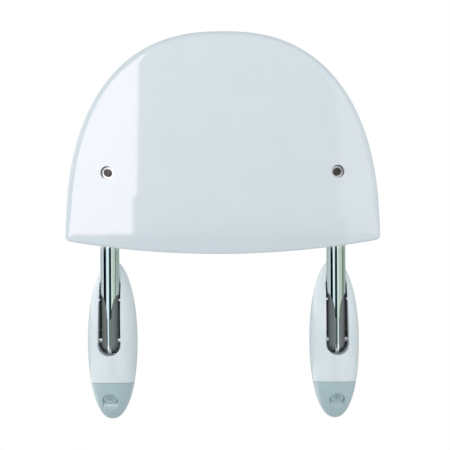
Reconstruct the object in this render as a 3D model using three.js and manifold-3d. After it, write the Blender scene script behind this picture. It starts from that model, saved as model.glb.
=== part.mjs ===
// Fold-up shower seat, folded up against the wall. Millimetres.
// X runs along the wall, +Y goes into the wall, +Z is up. The origin is on the wall's face, midway
// between the two brackets, at the height of the hinge pins. Depth means distance from the wall, -Y.
import * as THREE from "three";
import { mergeVertices } from "three/addons/utils/BufferGeometryUtils.js";
import Module from "manifold-3d";

const wasm = await Module();
wasm.setup();

// ---- Driving dimensions ----
const GAP = 0.3; // clearance left between pieces that touch
const ARM_SPACING = 300; // centre to centre of the two arms
const HINGE_DEPTH = 31.5; // hinge axis and arm tubes in front of the wall

const TUBE_RADIUS = 12.5;
const TUBE_WALL = 2;
const TUBE_TOP = 300;
const NIB_TIP = 29; // where the tube's pen-nib cut has narrowed to the blade's width
const NIB_LENGTH = 32;
const BLADE_HALF = 2.5;
const CHEEK_RADIUS = 11.3;
const CHEEK_CENTRE = -4; // centre of the cheeks' round lower ends
const SPIGOT_TOP = 72; // how far cheeks and blade reach up inside the tube
const HEEL_TIP = -18.7;

const PIN_RADIUS = 4;
const STOP_RADIUS = 2.8;
const STOP_BACK = 15.8; // stop pin behind the hinge axis
const HEEL_HALF = 8;

const BRACKET_HALF_WIDTH = 33;
const BRACKET_HALF_HEIGHT = 107.2;
const BRACKET_CENTRE = -2.2;
const BRACKET_DEPTH = 50;
const DOME_POWER = 2.5;
const UPPER_POWER = 2; // the outline's upper half is an ellipse
const LOWER_POWER = 2.2; // and the lower half is a little fuller
const COVER_SKIN = 2.5;
const COVER_BACK = 0.5; // covers stop just short of the wall

const SLOT_RADIUS = 14.9;
const SLOT_CENTRE = -4.4;
const SLOT_TOP = 78;
const SKIRT_WALL = 1.5;
const SKIRT_BACK = 20; // depth of the skirts' back edge
const CHANNEL_RADIUS = 12.9; // also half the slot's width at its top
const COVER_SEAM = 12;
const NUB_HEIGHT = 54;
const NUB_RADIUS = 1.3;

const CAP_SIDE = -62; // height of the end cap's parting plane at the wall
const CAP_FRONT = -55; // and at the dome's front
const CAP_FRONT_DEPTH = 46.4;
const POCKET_HALF = 9.9;
const POCKET_TOP_CENTRE = -79.5;
const POCKET_FLOOR = 29.5;
const POCKET_WALL = 1.6;
const PLUG_CENTRE = { depth: 35.4, height: -77 };
const PLUG_TILT = THREE.MathUtils.degToRad(35); // below the horizontal
const PLUG_RADIUS = 9.3;
const PLUG_THICKNESS = 4.5;
const PLUG_RIBS = 10;
const PLUG_DISH = 1.6;
const PLUG_HUB = 2; // flat middle that the ribs run out from
const RIB_HALF_WIDTH = 0.6;
const PEG = { radius: 3, length: 8 };

const PLATE_THICKNESS = 4;
const PLATE_INSET = 4.5;
const EAR_INNER = 17.2;
const EAR_THICKNESS = 3;
const EAR_RADIUS = 8;
const EAR_ROOT = { high: 24, low: -20 }; // where the ears meet the plate
const EAR_TURN = 1.75; // radians either side of the front that an ear's round nose covers
const BUSH_RADIUS = 5.7;
const WALL_SCREW_HEIGHTS = { top: 40, middle: -36, bottom: -66 };
const WALL_SCREW_RADIUS = 3;
const WALL_SCREW_HOLE = 3.4;
const PAN_HEAD = { radius: 6, edge: 1.2, shoulder: 4.5, shoulderHeight: 3.4, top: 4.2 };
const CROSS_RECESS = { reach: 3, half: 0.6, floor: 2.2 };
const PAD_HEIGHT = 68;
const PAD_RADIUS = 6;

const SEAT_HALF_WIDTH = 205;
const SEAT_FRONT = 405; // top of the D when folded up
const SEAT_SHOULDER = 132; // where the D edge starts
const SEAT_POWER = 2.4;
const REAR_RADIUS = 1175; // the rear edge's shallow curve
const REAR_LOW = 114.4;
const SEAT_FACE = 60; // depth of the underside, which faces the room when folded up
const SEAT_SITTING = 12; // depth of the sitting side's rim
const FACE_CROWN = 1.2;
const SITTING_DISH = 2.5;
const D_RIM = 10;
const REAR_RIM = 4.5;
const RIM_CHANGE = 45; // height above the shoulder over which the one becomes the other
const CORNER = { height: 7, width: 6.5 };
const SITTING_RIM_SCALE = 0.8; // the sitting side's rim, against the underside's
const SEAT_WALL = 4;
const CLEARANCE = 5; // that cuts run past the parting plane and the tubes' ends
const SCREW_HEIGHT = 221;
const SCREW_RECESS = { radius: 8.5, floor: 46.4 };
const SCREW_HEAD = { radius: 5, top: 53.5, bottom: 48.2 };
const SCREW_SHANK = 3;
const HEXAGON = { radius: 2.9, depth: 3 };
const WASHER = { setIn: 0.6, thickness: 1.2 };
const INSERT = { radius: 4.2, bottom: 34, flangeLow: 44.3, flangeHigh: 45.1, flangeRadius: 5.5 };
const SADDLE_HALF_WIDTH = 17;
const SADDLES = [
  { centre: SCREW_HEIGHT, half: 30 },
  { centre: 285, half: 8 },
];

const FAR = 500; // longer than anything it cuts

// ---- Materials ----
const finish = (color, roughness, metalness) =>
  new THREE.MeshStandardMaterial({ color, roughness, metalness });
const MATERIALS = {
  white: finish(0xe3eaee, 0.18, 0),
  grey: finish(0xaabfc6, 0.35, 0),
  cheek: finish(0x7f8684, 0.35, 0),
  chrome: finish(0xd5d8da, 0.06, 1),
  steel: finish(0xb4b7ba, 0.35, 1),
  dark: finish(0x3c3f40, 0.4, 1),
  brass: finish(0xb59a5b, 0.35, 1),
  rubber: finish(0x2a2b2c, 0.8, 0),
  acetal: finish(0xe8e6df, 0.5, 0),
};

// ---- Solids ----
// A closed three.js geometry as a solid that can be joined and cut.
function solid(geometry) {
  const bare = geometry.index ? geometry.toNonIndexed() : geometry.clone();
  bare.deleteAttribute("normal");
  bare.deleteAttribute("uv");
  const merged = mergeVertices(bare, 1e-4);
  return new wasm.Manifold(
    new wasm.Mesh({
      numProp: 3,
      vertProperties: merged.attributes.position.array,
      triVerts: new Uint32Array(merged.index.array),
    }),
  );
}

function meshOf(name, shape, material) {
  const mesh = shape.getMesh();
  const geometry = new THREE.BufferGeometry();
  geometry.setAttribute("position", new THREE.BufferAttribute(mesh.vertProperties, mesh.numProp));
  geometry.setIndex(new THREE.BufferAttribute(mesh.triVerts, 1));
  const flat = geometry.toNonIndexed();
  flat.computeVertexNormals();
  const made = new THREE.Mesh(flat, material);
  made.name = name;
  return made;
}

// A shape drawn in X and Z, extruded from one depth to another.
function fromWall(shape, nearDepth, farDepth, curveSegments = 10) {
  const geometry = new THREE.ExtrudeGeometry(shape, {
    depth: farDepth - nearDepth,
    bevelEnabled: false,
    curveSegments,
  });
  return solid(geometry.translate(0, 0, nearDepth).rotateX(Math.PI / 2));
}

// A shape drawn in Y and Z, extruded from one X to another.
function acrossX(shape, low, high, curveSegments = 6) {
  const geometry = new THREE.ExtrudeGeometry(shape, {
    depth: high - low,
    bevelEnabled: false,
    curveSegments,
  });
  const turn = new THREE.Matrix4().makeBasis(
    new THREE.Vector3(0, 1, 0),
    new THREE.Vector3(0, 0, 1),
    new THREE.Vector3(1, 0, 0),
  );
  return solid(geometry.translate(0, 0, low).applyMatrix4(turn));
}

function block(x, y, z) {
  const geometry = new THREE.BoxGeometry(x[1] - x[0], y[1] - y[0], z[1] - z[0]);
  return solid(
    geometry.translate((x[0] + x[1]) / 2, (y[0] + y[1]) / 2, (z[0] + z[1]) / 2),
  );
}

// A profile of [radius, along] pairs turned about an axis: "x", "z" or "depth", which is -Y.
const AXIS_TURNS = {
  x: (geometry) => geometry.rotateZ(-Math.PI / 2),
  z: (geometry) => geometry.rotateX(Math.PI / 2),
  depth: (geometry) => geometry.rotateX(Math.PI),
};

function turned(axis, profile, segments = 16) {
  const points = profile.map(([radius, along]) => new THREE.Vector2(radius, along));
  return solid(AXIS_TURNS[axis](new THREE.LatheGeometry(points, segments)));
}

function rod(axis, radius, low, high, segments = 16) {
  return turned(axis, [[0, low], [radius, low], [radius, high], [0, high]], segments);
}

function sleeve(axis, inner, outer, low, high, segments = 16) {
  const profile = [[inner, low], [outer, low], [outer, high], [inner, high], [inner, low]];
  return turned(axis, profile, segments);
}

const union = (solids) => solids.reduce((sum, next) => sum.add(next));

// ---- Bracket ----
// A point on the bracket's oval outline, seen from the front, drawn in by an inset.
function ovalPoint(angle, inset = 0) {
  const power = Math.sin(angle) >= 0 ? UPPER_POWER : LOWER_POWER;
  const bend = (value) => Math.sign(value) * Math.abs(value) ** (2 / power);
  return new THREE.Vector2(
    (BRACKET_HALF_WIDTH - inset) * bend(Math.cos(angle)),
    (BRACKET_HALF_HEIGHT - inset) * bend(Math.sin(angle)),
  );
}

// The housing's domed form, or the hollow inside it. A superellipse in depth, turned through the
// oval outline. The hollow starts behind the wall's face, so that it opens the back.
function dome(inset, back) {
  const rings = 7;
  const height = BRACKET_DEPTH - COVER_BACK - inset;
  const profile = [new THREE.Vector2(0, back), new THREE.Vector2(1, back)];
  const first = back < 0 ? 0 : 1;
  for (let ring = first; ring <= rings; ring++) {
    const angle = (ring / rings) * (Math.PI / 2);
    const radius = ring === rings ? 0 : Math.cos(angle) ** (2 / DOME_POWER);
    profile.push(new THREE.Vector2(radius, height * Math.sin(angle) ** (2 / DOME_POWER)));
  }
  const geometry = new THREE.LatheGeometry(profile, 36);
  const vertices = geometry.attributes.position;
  for (let i = 0; i < vertices.count; i++) {
    const radius = Math.hypot(vertices.getX(i), vertices.getZ(i));
    const edge = ovalPoint(Math.atan2(-vertices.getZ(i), vertices.getX(i)), inset);
    const depth = COVER_BACK + vertices.getY(i);
    vertices.setXYZ(i, edge.x * radius, -depth, BRACKET_CENTRE + edge.y * radius);
  }
  return solid(geometry);
}

// The slot that the arm swings in: a round lower end and sides that close in slightly upwards.
function slotShape(grow) {
  const shape = new THREE.Shape();
  shape.moveTo(CHANNEL_RADIUS + grow, SLOT_TOP + grow);
  shape.lineTo(-CHANNEL_RADIUS - grow, SLOT_TOP + grow);
  shape.absarc(0, SLOT_CENTRE, SLOT_RADIUS + grow, Math.PI, 2 * Math.PI, false);
  shape.closePath();
  return shape;
}

// Everything below the slanted plane where the end cap meets the lower cover.
function capSpace(shift) {
  const slope = (CAP_FRONT - CAP_SIDE) / CAP_FRONT_DEPTH;
  const heightAt = (depth) => CAP_SIDE + shift + slope * depth;
  const shape = new THREE.Shape();
  shape.moveTo(FAR, heightAt(-FAR));
  shape.lineTo(-FAR, heightAt(FAR));
  shape.lineTo(-FAR, -FAR);
  shape.lineTo(FAR, -FAR);
  shape.closePath();
  return acrossX(shape, -FAR, FAR);
}

// The covers as one piece, before they are parted.
function wholeCover() {
  const outer = dome(0, 0);
  const shell = outer.subtract(dome(COVER_SKIN, -2));
  const skirt = fromWall(slotShape(SKIRT_WALL), SKIRT_BACK, FAR).intersect(outer);
  const tubeAxis = [0, -HINGE_DEPTH, 0];
  const channelFrom = SLOT_TOP - 2;
  const channelSkin = rod("z", CHANNEL_RADIUS + SKIRT_WALL, channelFrom, FAR, 24)
    .translate(tubeAxis)
    .intersect(outer);
  const nubs = [-1, 1].map((side) =>
    rod("depth", NUB_RADIUS, HINGE_DEPTH, FAR, 8)
      .translate([side * (CHEEK_RADIUS + GAP + NUB_RADIUS), 0, NUB_HEIGHT])
      .intersect(outer),
  );
  const slot = fromWall(slotShape(0), PLATE_THICKNESS, FAR);
  const channel = rod("z", CHANNEL_RADIUS, channelFrom, FAR, 24).translate(tubeAxis);
  const notch = PIN_RADIUS + GAP;
  const pinHole = rod("x", notch, -EAR_INNER, EAR_INNER).translate(tubeAxis);
  const pinNotch = block(
    [-EAR_INNER, EAR_INNER],
    [-HINGE_DEPTH, -PLATE_THICKNESS],
    [-notch, notch],
  ).add(pinHole);
  return union([shell, skirt, channelSkin])
    .subtract(slot)
    .subtract(channel)
    .add(nubs[0])
    .add(nubs[1])
    .subtract(pinNotch);
}

// The frame of the plug's bore: Z runs out of the end cap, forwards and down.
const plugFrame = new THREE.Matrix4()
  .makeTranslation(0, -PLUG_CENTRE.depth, PLUG_CENTRE.height)
  .multiply(new THREE.Matrix4().makeRotationX(Math.PI / 2 + PLUG_TILT));
const inPlugFrame = (shape) => shape.transform(plugFrame.toArray());

// The end cap's round-topped pocket, open at the bottom of the dome.
function pocketShape(grow) {
  const half = POCKET_HALF + grow;
  const shape = new THREE.Shape();
  shape.moveTo(-half, -FAR);
  shape.lineTo(half, -FAR);
  shape.absarc(0, POCKET_TOP_CENTRE, half, 0, Math.PI, false);
  shape.closePath();
  return shape;
}

function endCap() {
  const outer = dome(0, 0).intersect(capSpace(-GAP / 2));
  const shell = outer.subtract(dome(COVER_SKIN, -2));
  const pocketWalls = fromWall(pocketShape(POCKET_WALL), POCKET_FLOOR - POCKET_WALL, FAR)
    .intersect(outer);
  const boreWalls = inPlugFrame(
    rod("z", PLUG_RADIUS + GAP + POCKET_WALL, -PLUG_THICKNESS - GAP - POCKET_WALL, 0),
  ).intersect(outer);
  const pocket = fromWall(pocketShape(0), POCKET_FLOOR, FAR);
  const bore = inPlugFrame(rod("z", PLUG_RADIUS + GAP, -PLUG_THICKNESS - GAP, FAR));
  const pegEnd = -PLUG_THICKNESS - PEG.length;
  const pegHole = inPlugFrame(rod("z", PEG.radius + GAP, 2 * pegEnd, 0));
  return union([shell, pocketWalls, boreWalls])
    .subtract(pocket)
    .subtract(bore)
    .subtract(pegHole);
}

// A push-in plug with a shallow dish and radial ribs on its face, and a peg behind.
function capPlug() {
  const chamfer = 0.6;
  const rimWidth = 1.4;
  const pegEnd = -PLUG_THICKNESS - PEG.length;
  const body = turned("z", [
    [0, pegEnd],
    [PEG.radius, pegEnd],
    [PEG.radius, -PLUG_THICKNESS],
    [PLUG_RADIUS, -PLUG_THICKNESS],
    [PLUG_RADIUS, -chamfer],
    [PLUG_RADIUS - chamfer, 0],
    [PLUG_RADIUS - rimWidth, 0],
    [PLUG_HUB, -PLUG_DISH],
    [0, -PLUG_DISH],
  ]);
  const rib = block(
    [PLUG_HUB, PLUG_RADIUS - rimWidth / 2],
    [-RIB_HALF_WIDTH, RIB_HALF_WIDTH],
    [-PLUG_DISH - GAP, -GAP],
  );
  const ribs = Array.from({ length: PLUG_RIBS }, (_, i) => rib.rotate([0, 0, (360 * i) / PLUG_RIBS]));
  return inPlugFrame(union([body, ...ribs]));
}

function wallPlate() {
  const corners = 32;
  const outline = Array.from({ length: corners }, (_, i) => {
    const point = ovalPoint((i / corners) * 2 * Math.PI, PLATE_INSET);
    return new THREE.Vector2(point.x, point.y + BRACKET_CENTRE);
  });
  const plate = fromWall(new THREE.Shape(outline), 0, PLATE_THICKNESS);
  const foot = -PLATE_THICKNESS / 2; // well inside the plate, so that they join
  const profile = new THREE.Shape();
  profile.moveTo(foot, EAR_ROOT.high);
  profile.absarc(-HINGE_DEPTH, 0, EAR_RADIUS, EAR_TURN, 2 * Math.PI - EAR_TURN, false);
  profile.lineTo(foot, EAR_ROOT.low);
  profile.closePath();
  const ears = [-1, 1].map((side) => {
    const faces = [side * EAR_INNER, side * (EAR_INNER + EAR_THICKNESS)].sort((a, b) => a - b);
    return acrossX(profile, ...faces);
  });
  const stopHeight = HEEL_HALF + GAP + STOP_RADIUS;
  const holes = [
    rod("x", BUSH_RADIUS + GAP, -FAR, FAR).translate([0, -HINGE_DEPTH, 0]),
    rod("x", STOP_RADIUS + GAP, -FAR, FAR).translate([0, STOP_BACK - HINGE_DEPTH, stopHeight]),
    ...Object.values(WALL_SCREW_HEIGHTS).map((height) =>
      rod("depth", WALL_SCREW_HOLE, -FAR, FAR).translate([0, 0, height]),
    ),
  ];
  return holes.reduce((rest, hole) => rest.subtract(hole), union([plate, ...ears]));
}

// The hinge pin has a head at one end and a groove for the retaining ring at the other.
const RING = { inner: 3.4, outer: 5.8, low: 20.8, thickness: 0.8, mouthHalf: 2.4 };
const PIN_END = { length: 0.9, relief: 0.4 }; // beyond the ring
const PIN_HEAD_THICKNESS = 1.2;

function hingePin() {
  const head = EAR_INNER + EAR_THICKNESS + GAP;
  const pastRing = RING.low + RING.thickness + GAP;
  return turned("x", [
    [0, -head - PIN_HEAD_THICKNESS],
    [RING.outer, -head - PIN_HEAD_THICKNESS],
    [RING.outer, -head],
    [PIN_RADIUS, -head],
    [PIN_RADIUS, RING.low - GAP],
    [RING.inner - GAP, RING.low - GAP],
    [RING.inner - GAP, pastRing],
    [PIN_RADIUS - PIN_END.relief, pastRing],
    [PIN_RADIUS - PIN_END.relief, pastRing + PIN_END.length],
    [0, pastRing + PIN_END.length],
  ]);
}

function retainingRing() {
  const mouth = block([0, FAR], [-RING.mouthHalf, RING.mouthHalf], [-FAR, 0]);
  return sleeve("x", RING.inner, RING.outer, RING.low, RING.low + RING.thickness).subtract(mouth);
}

function bush(side) {
  const setIn = 0.1; // from each face of the ear
  const near = EAR_INNER + setIn;
  const far = EAR_INNER + EAR_THICKNESS - setIn;
  const ends = [side * near, side * far].sort((a, b) => a - b);
  return sleeve("x", PIN_RADIUS + GAP, BUSH_RADIUS, ...ends);
}

function stopPin() {
  const proud = 0.4; // of the ears, at each end
  const half = EAR_INNER + EAR_THICKNESS + proud;
  return rod("x", STOP_RADIUS, -half, half);
}

function restPad() {
  const tip = HINGE_DEPTH - TUBE_RADIUS - GAP;
  const shoulder = { width: 1.5, high: 0.5, low: 2 }; // of the domed end, below its tip
  return turned("depth", [
    [0, PLATE_THICKNESS + GAP],
    [PAD_RADIUS, PLATE_THICKNESS + GAP],
    [PAD_RADIUS, tip - shoulder.low],
    [PAD_RADIUS - shoulder.width, tip - shoulder.high],
    [0, tip],
  ]);
}

// A pan-head screw into the wall, with a cross recess.
function wallScrew() {
  const seat = PLATE_THICKNESS + GAP;
  const body = turned("depth", [
    [0, GAP],
    [WALL_SCREW_RADIUS, GAP],
    [WALL_SCREW_RADIUS, seat],
    [PAN_HEAD.radius, seat],
    [PAN_HEAD.radius, seat + PAN_HEAD.edge],
    [PAN_HEAD.shoulder, seat + PAN_HEAD.shoulderHeight],
    [0, seat + PAN_HEAD.top],
  ], 12);
  const long = [-CROSS_RECESS.reach, CROSS_RECESS.reach];
  const short = [-CROSS_RECESS.half, CROSS_RECESS.half];
  const depthRange = [-seat - FAR, -seat - CROSS_RECESS.floor];
  const slots = block(long, depthRange, short).add(block(short, depthRange, long));
  return body.subtract(slots);
}

function makeBracket(side) {
  const group = new THREE.Group();
  group.position.x = (side.sign * ARM_SPACING) / 2;
  const add = (name, shape, material) => {
    const mesh = meshOf(side.name + "_" + name, shape, material);
    group.add(mesh);
    return mesh;
  };
  const cover = wholeCover();
  const above = block([-FAR, FAR], [-FAR, FAR], [COVER_SEAM + GAP / 2, FAR]);
  const below = block([-FAR, FAR], [-FAR, FAR], [-FAR, COVER_SEAM - GAP / 2]);
  add("upper_cover", cover.intersect(above), MATERIALS.white);
  add("lower_cover", cover.intersect(below).subtract(capSpace(GAP / 2)), MATERIALS.white);
  add("end_cap", endCap(), MATERIALS.grey);
  add("cap_plug", capPlug(), MATERIALS.grey);
  add("wall_plate", wallPlate(), MATERIALS.steel);
  for (const [place, height] of Object.entries(WALL_SCREW_HEIGHTS)) {
    add("wall_screw_" + place, wallScrew(), MATERIALS.steel).position.z = height;
  }
  add("rest_pad", restPad(), MATERIALS.rubber).position.z = PAD_HEIGHT;
  const stop = add("stop_pin", stopPin(), MATERIALS.steel);
  stop.position.set(0, STOP_BACK - HINGE_DEPTH, HEEL_HALF + GAP + STOP_RADIUS);
  const hinge = new THREE.Group();
  hinge.position.y = -HINGE_DEPTH;
  group.add(hinge);
  hinge.add(meshOf(side.name + "_hinge_pin", hingePin(), MATERIALS.steel));
  hinge.add(meshOf(side.name + "_pin_ring", retainingRing(), MATERIALS.dark));
  hinge.add(meshOf(side.name + "_bush_a", bush(-1), MATERIALS.acetal));
  hinge.add(meshOf(side.name + "_bush_b", bush(1), MATERIALS.acetal));
  return group;
}

// ---- Arm ----
// The tube's outline seen from the front: quarter-ellipse cuts that leave a strip at the tip.
function nibShape(grow) {
  const half = TUBE_RADIUS + 1;
  const curve = TUBE_RADIUS - BLADE_HALF;
  const shape = new THREE.Shape();
  shape.moveTo(half, FAR);
  shape.lineTo(-half, FAR);
  shape.lineTo(-half, NIB_TIP + NIB_LENGTH - grow);
  shape.lineTo(-TUBE_RADIUS, NIB_TIP + NIB_LENGTH - grow);
  shape.absellipse(
    -TUBE_RADIUS, NIB_TIP - grow, curve - grow, NIB_LENGTH, Math.PI / 2, 0, true, 0,
  );
  shape.lineTo(BLADE_HALF + grow, NIB_TIP - grow);
  shape.absellipse(
    TUBE_RADIUS, NIB_TIP - grow, curve - grow, NIB_LENGTH, Math.PI, Math.PI / 2, true, 0,
  );
  shape.lineTo(half, NIB_TIP + NIB_LENGTH - grow);
  shape.closePath();
  return shape;
}

function armTube() {
  const bore = TUBE_RADIUS - TUBE_WALL;
  const insertHole = rod("depth", INSERT.radius + GAP, 0, FAR).translate([0, 0, SCREW_HEIGHT]);
  return sleeve("z", bore, TUBE_RADIUS, NIB_TIP, TUBE_TOP, 24)
    .intersect(fromWall(nibShape(0), -FAR, FAR))
    .subtract(insertHole);
}

// A flat plate whose tongue is inside the tube. Its heel meets the stop pin when the seat is down.
function hingeBlade() {
  const tongue = TUBE_RADIUS - TUBE_WALL - 2 * GAP;
  const shoulder = NIB_TIP - GAP;
  const edge = TUBE_RADIUS - GAP;
  const waist = 11;
  const nose = { y: -HEEL_HALF, z: -15.5 }; // the heel's front corner
  const striker = -16.6; // lower end of the flat that meets the stop pin
  const shape = new THREE.Shape();
  shape.moveTo(tongue, SPIGOT_TOP);
  shape.lineTo(-tongue, SPIGOT_TOP);
  shape.lineTo(-tongue, shoulder);
  shape.lineTo(-edge, shoulder);
  shape.quadraticCurveTo(-waist - 2 * GAP, shoulder / 2, -waist - GAP, 0);
  shape.quadraticCurveTo(-waist, nose.z / 2, nose.y, nose.z);
  shape.quadraticCurveTo(nose.y / 2, HEEL_TIP, 0, HEEL_TIP);
  shape.quadraticCurveTo(HEEL_HALF / 2, HEEL_TIP, HEEL_HALF, striker);
  shape.lineTo(HEEL_HALF, -9);
  shape.lineTo(waist, -2);
  shape.lineTo(waist, 12);
  shape.lineTo(edge, shoulder);
  shape.lineTo(tongue, shoulder);
  shape.closePath();
  return acrossX(shape, -BLADE_HALF, BLADE_HALF).subtract(rod("x", PIN_RADIUS + GAP, -FAR, FAR));
}

// A half-round moulding that fills one side of the nib's cut and runs up inside the tube.
function cheek(side) {
  const profile = [[0, CHEEK_CENTRE - CHEEK_RADIUS]];
  const steps = 5;
  for (let i = 1; i <= steps; i++) {
    const angle = (i / steps) * (Math.PI / 2);
    profile.push([CHEEK_RADIUS * Math.sin(angle), CHEEK_CENTRE - CHEEK_RADIUS * Math.cos(angle)]);
  }
  profile.push([CHEEK_RADIUS, SPIGOT_TOP], [0, SPIGOT_TOP]);
  const tubeSpace = fromWall(nibShape(GAP), -FAR, FAR).subtract(
    rod("z", TUBE_RADIUS - TUBE_WALL - GAP, -FAR, FAR, 24),
  );
  const near = BLADE_HALF + GAP;
  const sides = side > 0 ? [near, FAR] : [-FAR, -near];
  return turned("z", profile, 24)
    .intersect(block(sides, [-FAR, FAR], [-FAR, FAR]))
    .subtract(tubeSpace)
    .subtract(rod("x", PIN_RADIUS + GAP, -FAR, FAR));
}

function tubePlug() {
  const spigot = TUBE_RADIUS - TUBE_WALL - GAP;
  const depth = 8;
  const flange = { edge: 2, middle: 3 };
  return turned("z", [
    [0, TUBE_TOP - depth],
    [spigot, TUBE_TOP - depth],
    [spigot, TUBE_TOP + GAP],
    [TUBE_RADIUS, TUBE_TOP + GAP],
    [TUBE_RADIUS, TUBE_TOP + flange.edge],
    [0, TUBE_TOP + flange.middle],
  ]);
}

// A rivet nut in the tube's front wall, with its flange on the outside.
function threadedInsert() {
  return turned("depth", [
    [SCREW_SHANK + GAP, INSERT.bottom],
    [INSERT.radius, INSERT.bottom],
    [INSERT.radius, INSERT.flangeLow],
    [INSERT.flangeRadius, INSERT.flangeLow],
    [INSERT.flangeRadius, INSERT.flangeHigh],
    [SCREW_SHANK + GAP, INSERT.flangeHigh],
    [SCREW_SHANK + GAP, INSERT.bottom],
  ]);
}

function seatScrew() {
  const chamfer = 0.5;
  const body = turned("depth", [
    [0, INSERT.bottom + 1],
    [SCREW_SHANK, INSERT.bottom + 1],
    [SCREW_SHANK, SCREW_HEAD.bottom],
    [SCREW_HEAD.radius, SCREW_HEAD.bottom],
    [SCREW_HEAD.radius, SCREW_HEAD.top - chamfer],
    [SCREW_HEAD.radius - chamfer, SCREW_HEAD.top],
    [0, SCREW_HEAD.top],
  ]);
  const socket = rod("depth", HEXAGON.radius, SCREW_HEAD.top - HEXAGON.depth, FAR, 6);
  return body.subtract(socket);
}

function seatWasher() {
  const low = SCREW_RECESS.floor + GAP;
  const outer = SCREW_RECESS.radius - WASHER.setIn;
  return sleeve("depth", SCREW_SHANK + GAP, outer, low, low + WASHER.thickness);
}

function makeArm(side) {
  const group = new THREE.Group();
  group.position.set((side.sign * ARM_SPACING) / 2, -HINGE_DEPTH, 0);
  const add = (name, shape, material) => {
    group.add(meshOf(side.name + "_" + name, shape, material));
  };
  add("arm_tube", armTube(), MATERIALS.chrome);
  add("hinge_blade", hingeBlade(), MATERIALS.chrome);
  add("inner_cheek", cheek(-side.sign), MATERIALS.cheek);
  add("outer_cheek", cheek(side.sign), MATERIALS.cheek);
  add("tube_plug", tubePlug(), MATERIALS.rubber);
  const fixings = new THREE.Group();
  fixings.position.set((side.sign * ARM_SPACING) / 2, 0, SCREW_HEIGHT);
  fixings.add(meshOf(side.name + "_threaded_insert", threadedInsert(), MATERIALS.brass));
  fixings.add(meshOf(side.name + "_seat_screw", seatScrew(), MATERIALS.dark));
  fixings.add(meshOf(side.name + "_seat_washer", seatWasher(), MATERIALS.steel));
  return [group, fixings];
}

// ---- Seat ----
// The D outline, anticlockwise from the right-hand corner, seen from the front.
function seatOutline() {
  const rearZ = (x) => REAR_LOW + REAR_RADIUS - Math.sqrt(REAR_RADIUS ** 2 - x ** 2);
  const bend = (value) => Math.sign(value) * Math.abs(value) ** (2 / SEAT_POWER);
  const height = SEAT_FRONT - SEAT_SHOULDER;
  const edge = [];
  const steps = 30;
  const start = Math.asin((CORNER.height / height) ** (SEAT_POWER / 2));
  for (let i = 0; i <= steps; i++) {
    const angle = start + (i / steps) * (Math.PI - 2 * start);
    edge.push(
      new THREE.Vector2(
        SEAT_HALF_WIDTH * bend(Math.cos(angle)),
        SEAT_SHOULDER + height * bend(Math.sin(angle)),
      ),
    );
  }
  const rearHalf = SEAT_HALF_WIDTH - CORNER.width;
  const corner = (sign) =>
    new THREE.QuadraticBezierCurve(
      new THREE.Vector2(sign * SEAT_HALF_WIDTH, SEAT_SHOULDER + CORNER.height),
      new THREE.Vector2(sign * SEAT_HALF_WIDTH, rearZ(SEAT_HALF_WIDTH)),
      new THREE.Vector2(sign * rearHalf, rearZ(rearHalf)),
    ).getPoints(3);
  const rear = [];
  const rearSteps = 8;
  for (let i = 1; i < rearSteps; i++) {
    const x = rearHalf * ((2 * i) / rearSteps - 1);
    rear.push(new THREE.Vector2(x, rearZ(x)));
  }
  const leftCorner = corner(-1).slice(1);
  const rightCorner = corner(1).reverse().slice(0, -1);
  return [...edge, ...leftCorner, ...rear, ...rightCorner];
}

// Inward unit normals of an outline that runs anticlockwise.
function inwardNormals(outline) {
  return outline.map((_, i) => {
    const before = outline[(i + outline.length - 1) % outline.length];
    const after = outline[(i + 1) % outline.length];
    const along = after.clone().sub(before).normalize();
    return new THREE.Vector2(-along.y, along.x);
  });
}

// Rings of equal length, joined into a closed solid with a point in the middle of each end.
function ringSolid(rings) {
  const count = rings[0].length;
  const middle = (ring) =>
    ring.reduce((sum, point) => sum.add(point), new THREE.Vector3()).divideScalar(count);
  const points = [...rings.flat(), middle(rings[0]), middle(rings.at(-1))];
  const startPoint = points.length - 2;
  const endPoint = points.length - 1;
  const faces = [];
  for (let i = 0; i < count; i++) {
    const next = (i + 1) % count;
    faces.push(startPoint, next, i);
    for (let ring = 1; ring < rings.length; ring++) {
      const low = (ring - 1) * count;
      const high = ring * count;
      faces.push(low + i, low + next, high + i, low + next, high + next, high + i);
    }
    const last = (rings.length - 1) * count;
    faces.push(endPoint, last + i, last + next);
  }
  const geometry = new THREE.BufferGeometry().setFromPoints(points);
  geometry.setIndex(faces);
  return solid(geometry);
}

// Half of the seat: from the parting plane to a face whose rim is rounded all round. A positive
// sign faces the room and a negative one faces the wall. The swell lifts the face's middle.
function seatHalf({ sign, parting, face, rimScale, swell, inset }) {
  const outline = seatOutline();
  const inward = inwardNormals(outline);
  const rim = outline.map((point) => {
    const share = THREE.MathUtils.smoothstep(point.y, SEAT_SHOULDER, SEAT_SHOULDER + RIM_CHANGE);
    return Math.max(1, THREE.MathUtils.lerp(REAR_RIM, D_RIM, share) * rimScale - inset);
  });
  const ringAt = (drawIn, depth) =>
    outline.map((point, i) => {
      const moved = point.clone().addScaledVector(inward[i], inset + drawIn(i));
      return new THREE.Vector3(moved.x, -depth(i), moved.y);
    });
  const rings = [ringAt(() => 0, () => parting)];
  const rimSteps = inset > 0 ? 2 : 4;
  for (let step = 0; step <= rimSteps; step++) {
    const angle = (step / rimSteps) * (Math.PI / 2);
    rings.push(
      ringAt(
        (i) => rim[i] * (1 - Math.cos(angle)),
        (i) => face - sign * (rim[i] * (1 - Math.sin(angle)) + inset),
      ),
    );
  }
  const rimRing = rings.at(-1);
  const centre = new THREE.Vector3(0, 0, (SEAT_FRONT + REAR_LOW) / 2);
  for (const share of inset > 0 ? [] : [0.6]) {
    rings.push(
      rimRing.map((point) => {
        const moved = point.clone().sub(centre).multiplyScalar(share).add(centre);
        return moved.setY(point.y - sign * swell * (1 - share ** 2));
      }),
    );
  }
  return ringSolid(sign > 0 ? rings : rings.map((ring) => [...ring].reverse()));
}

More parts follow.
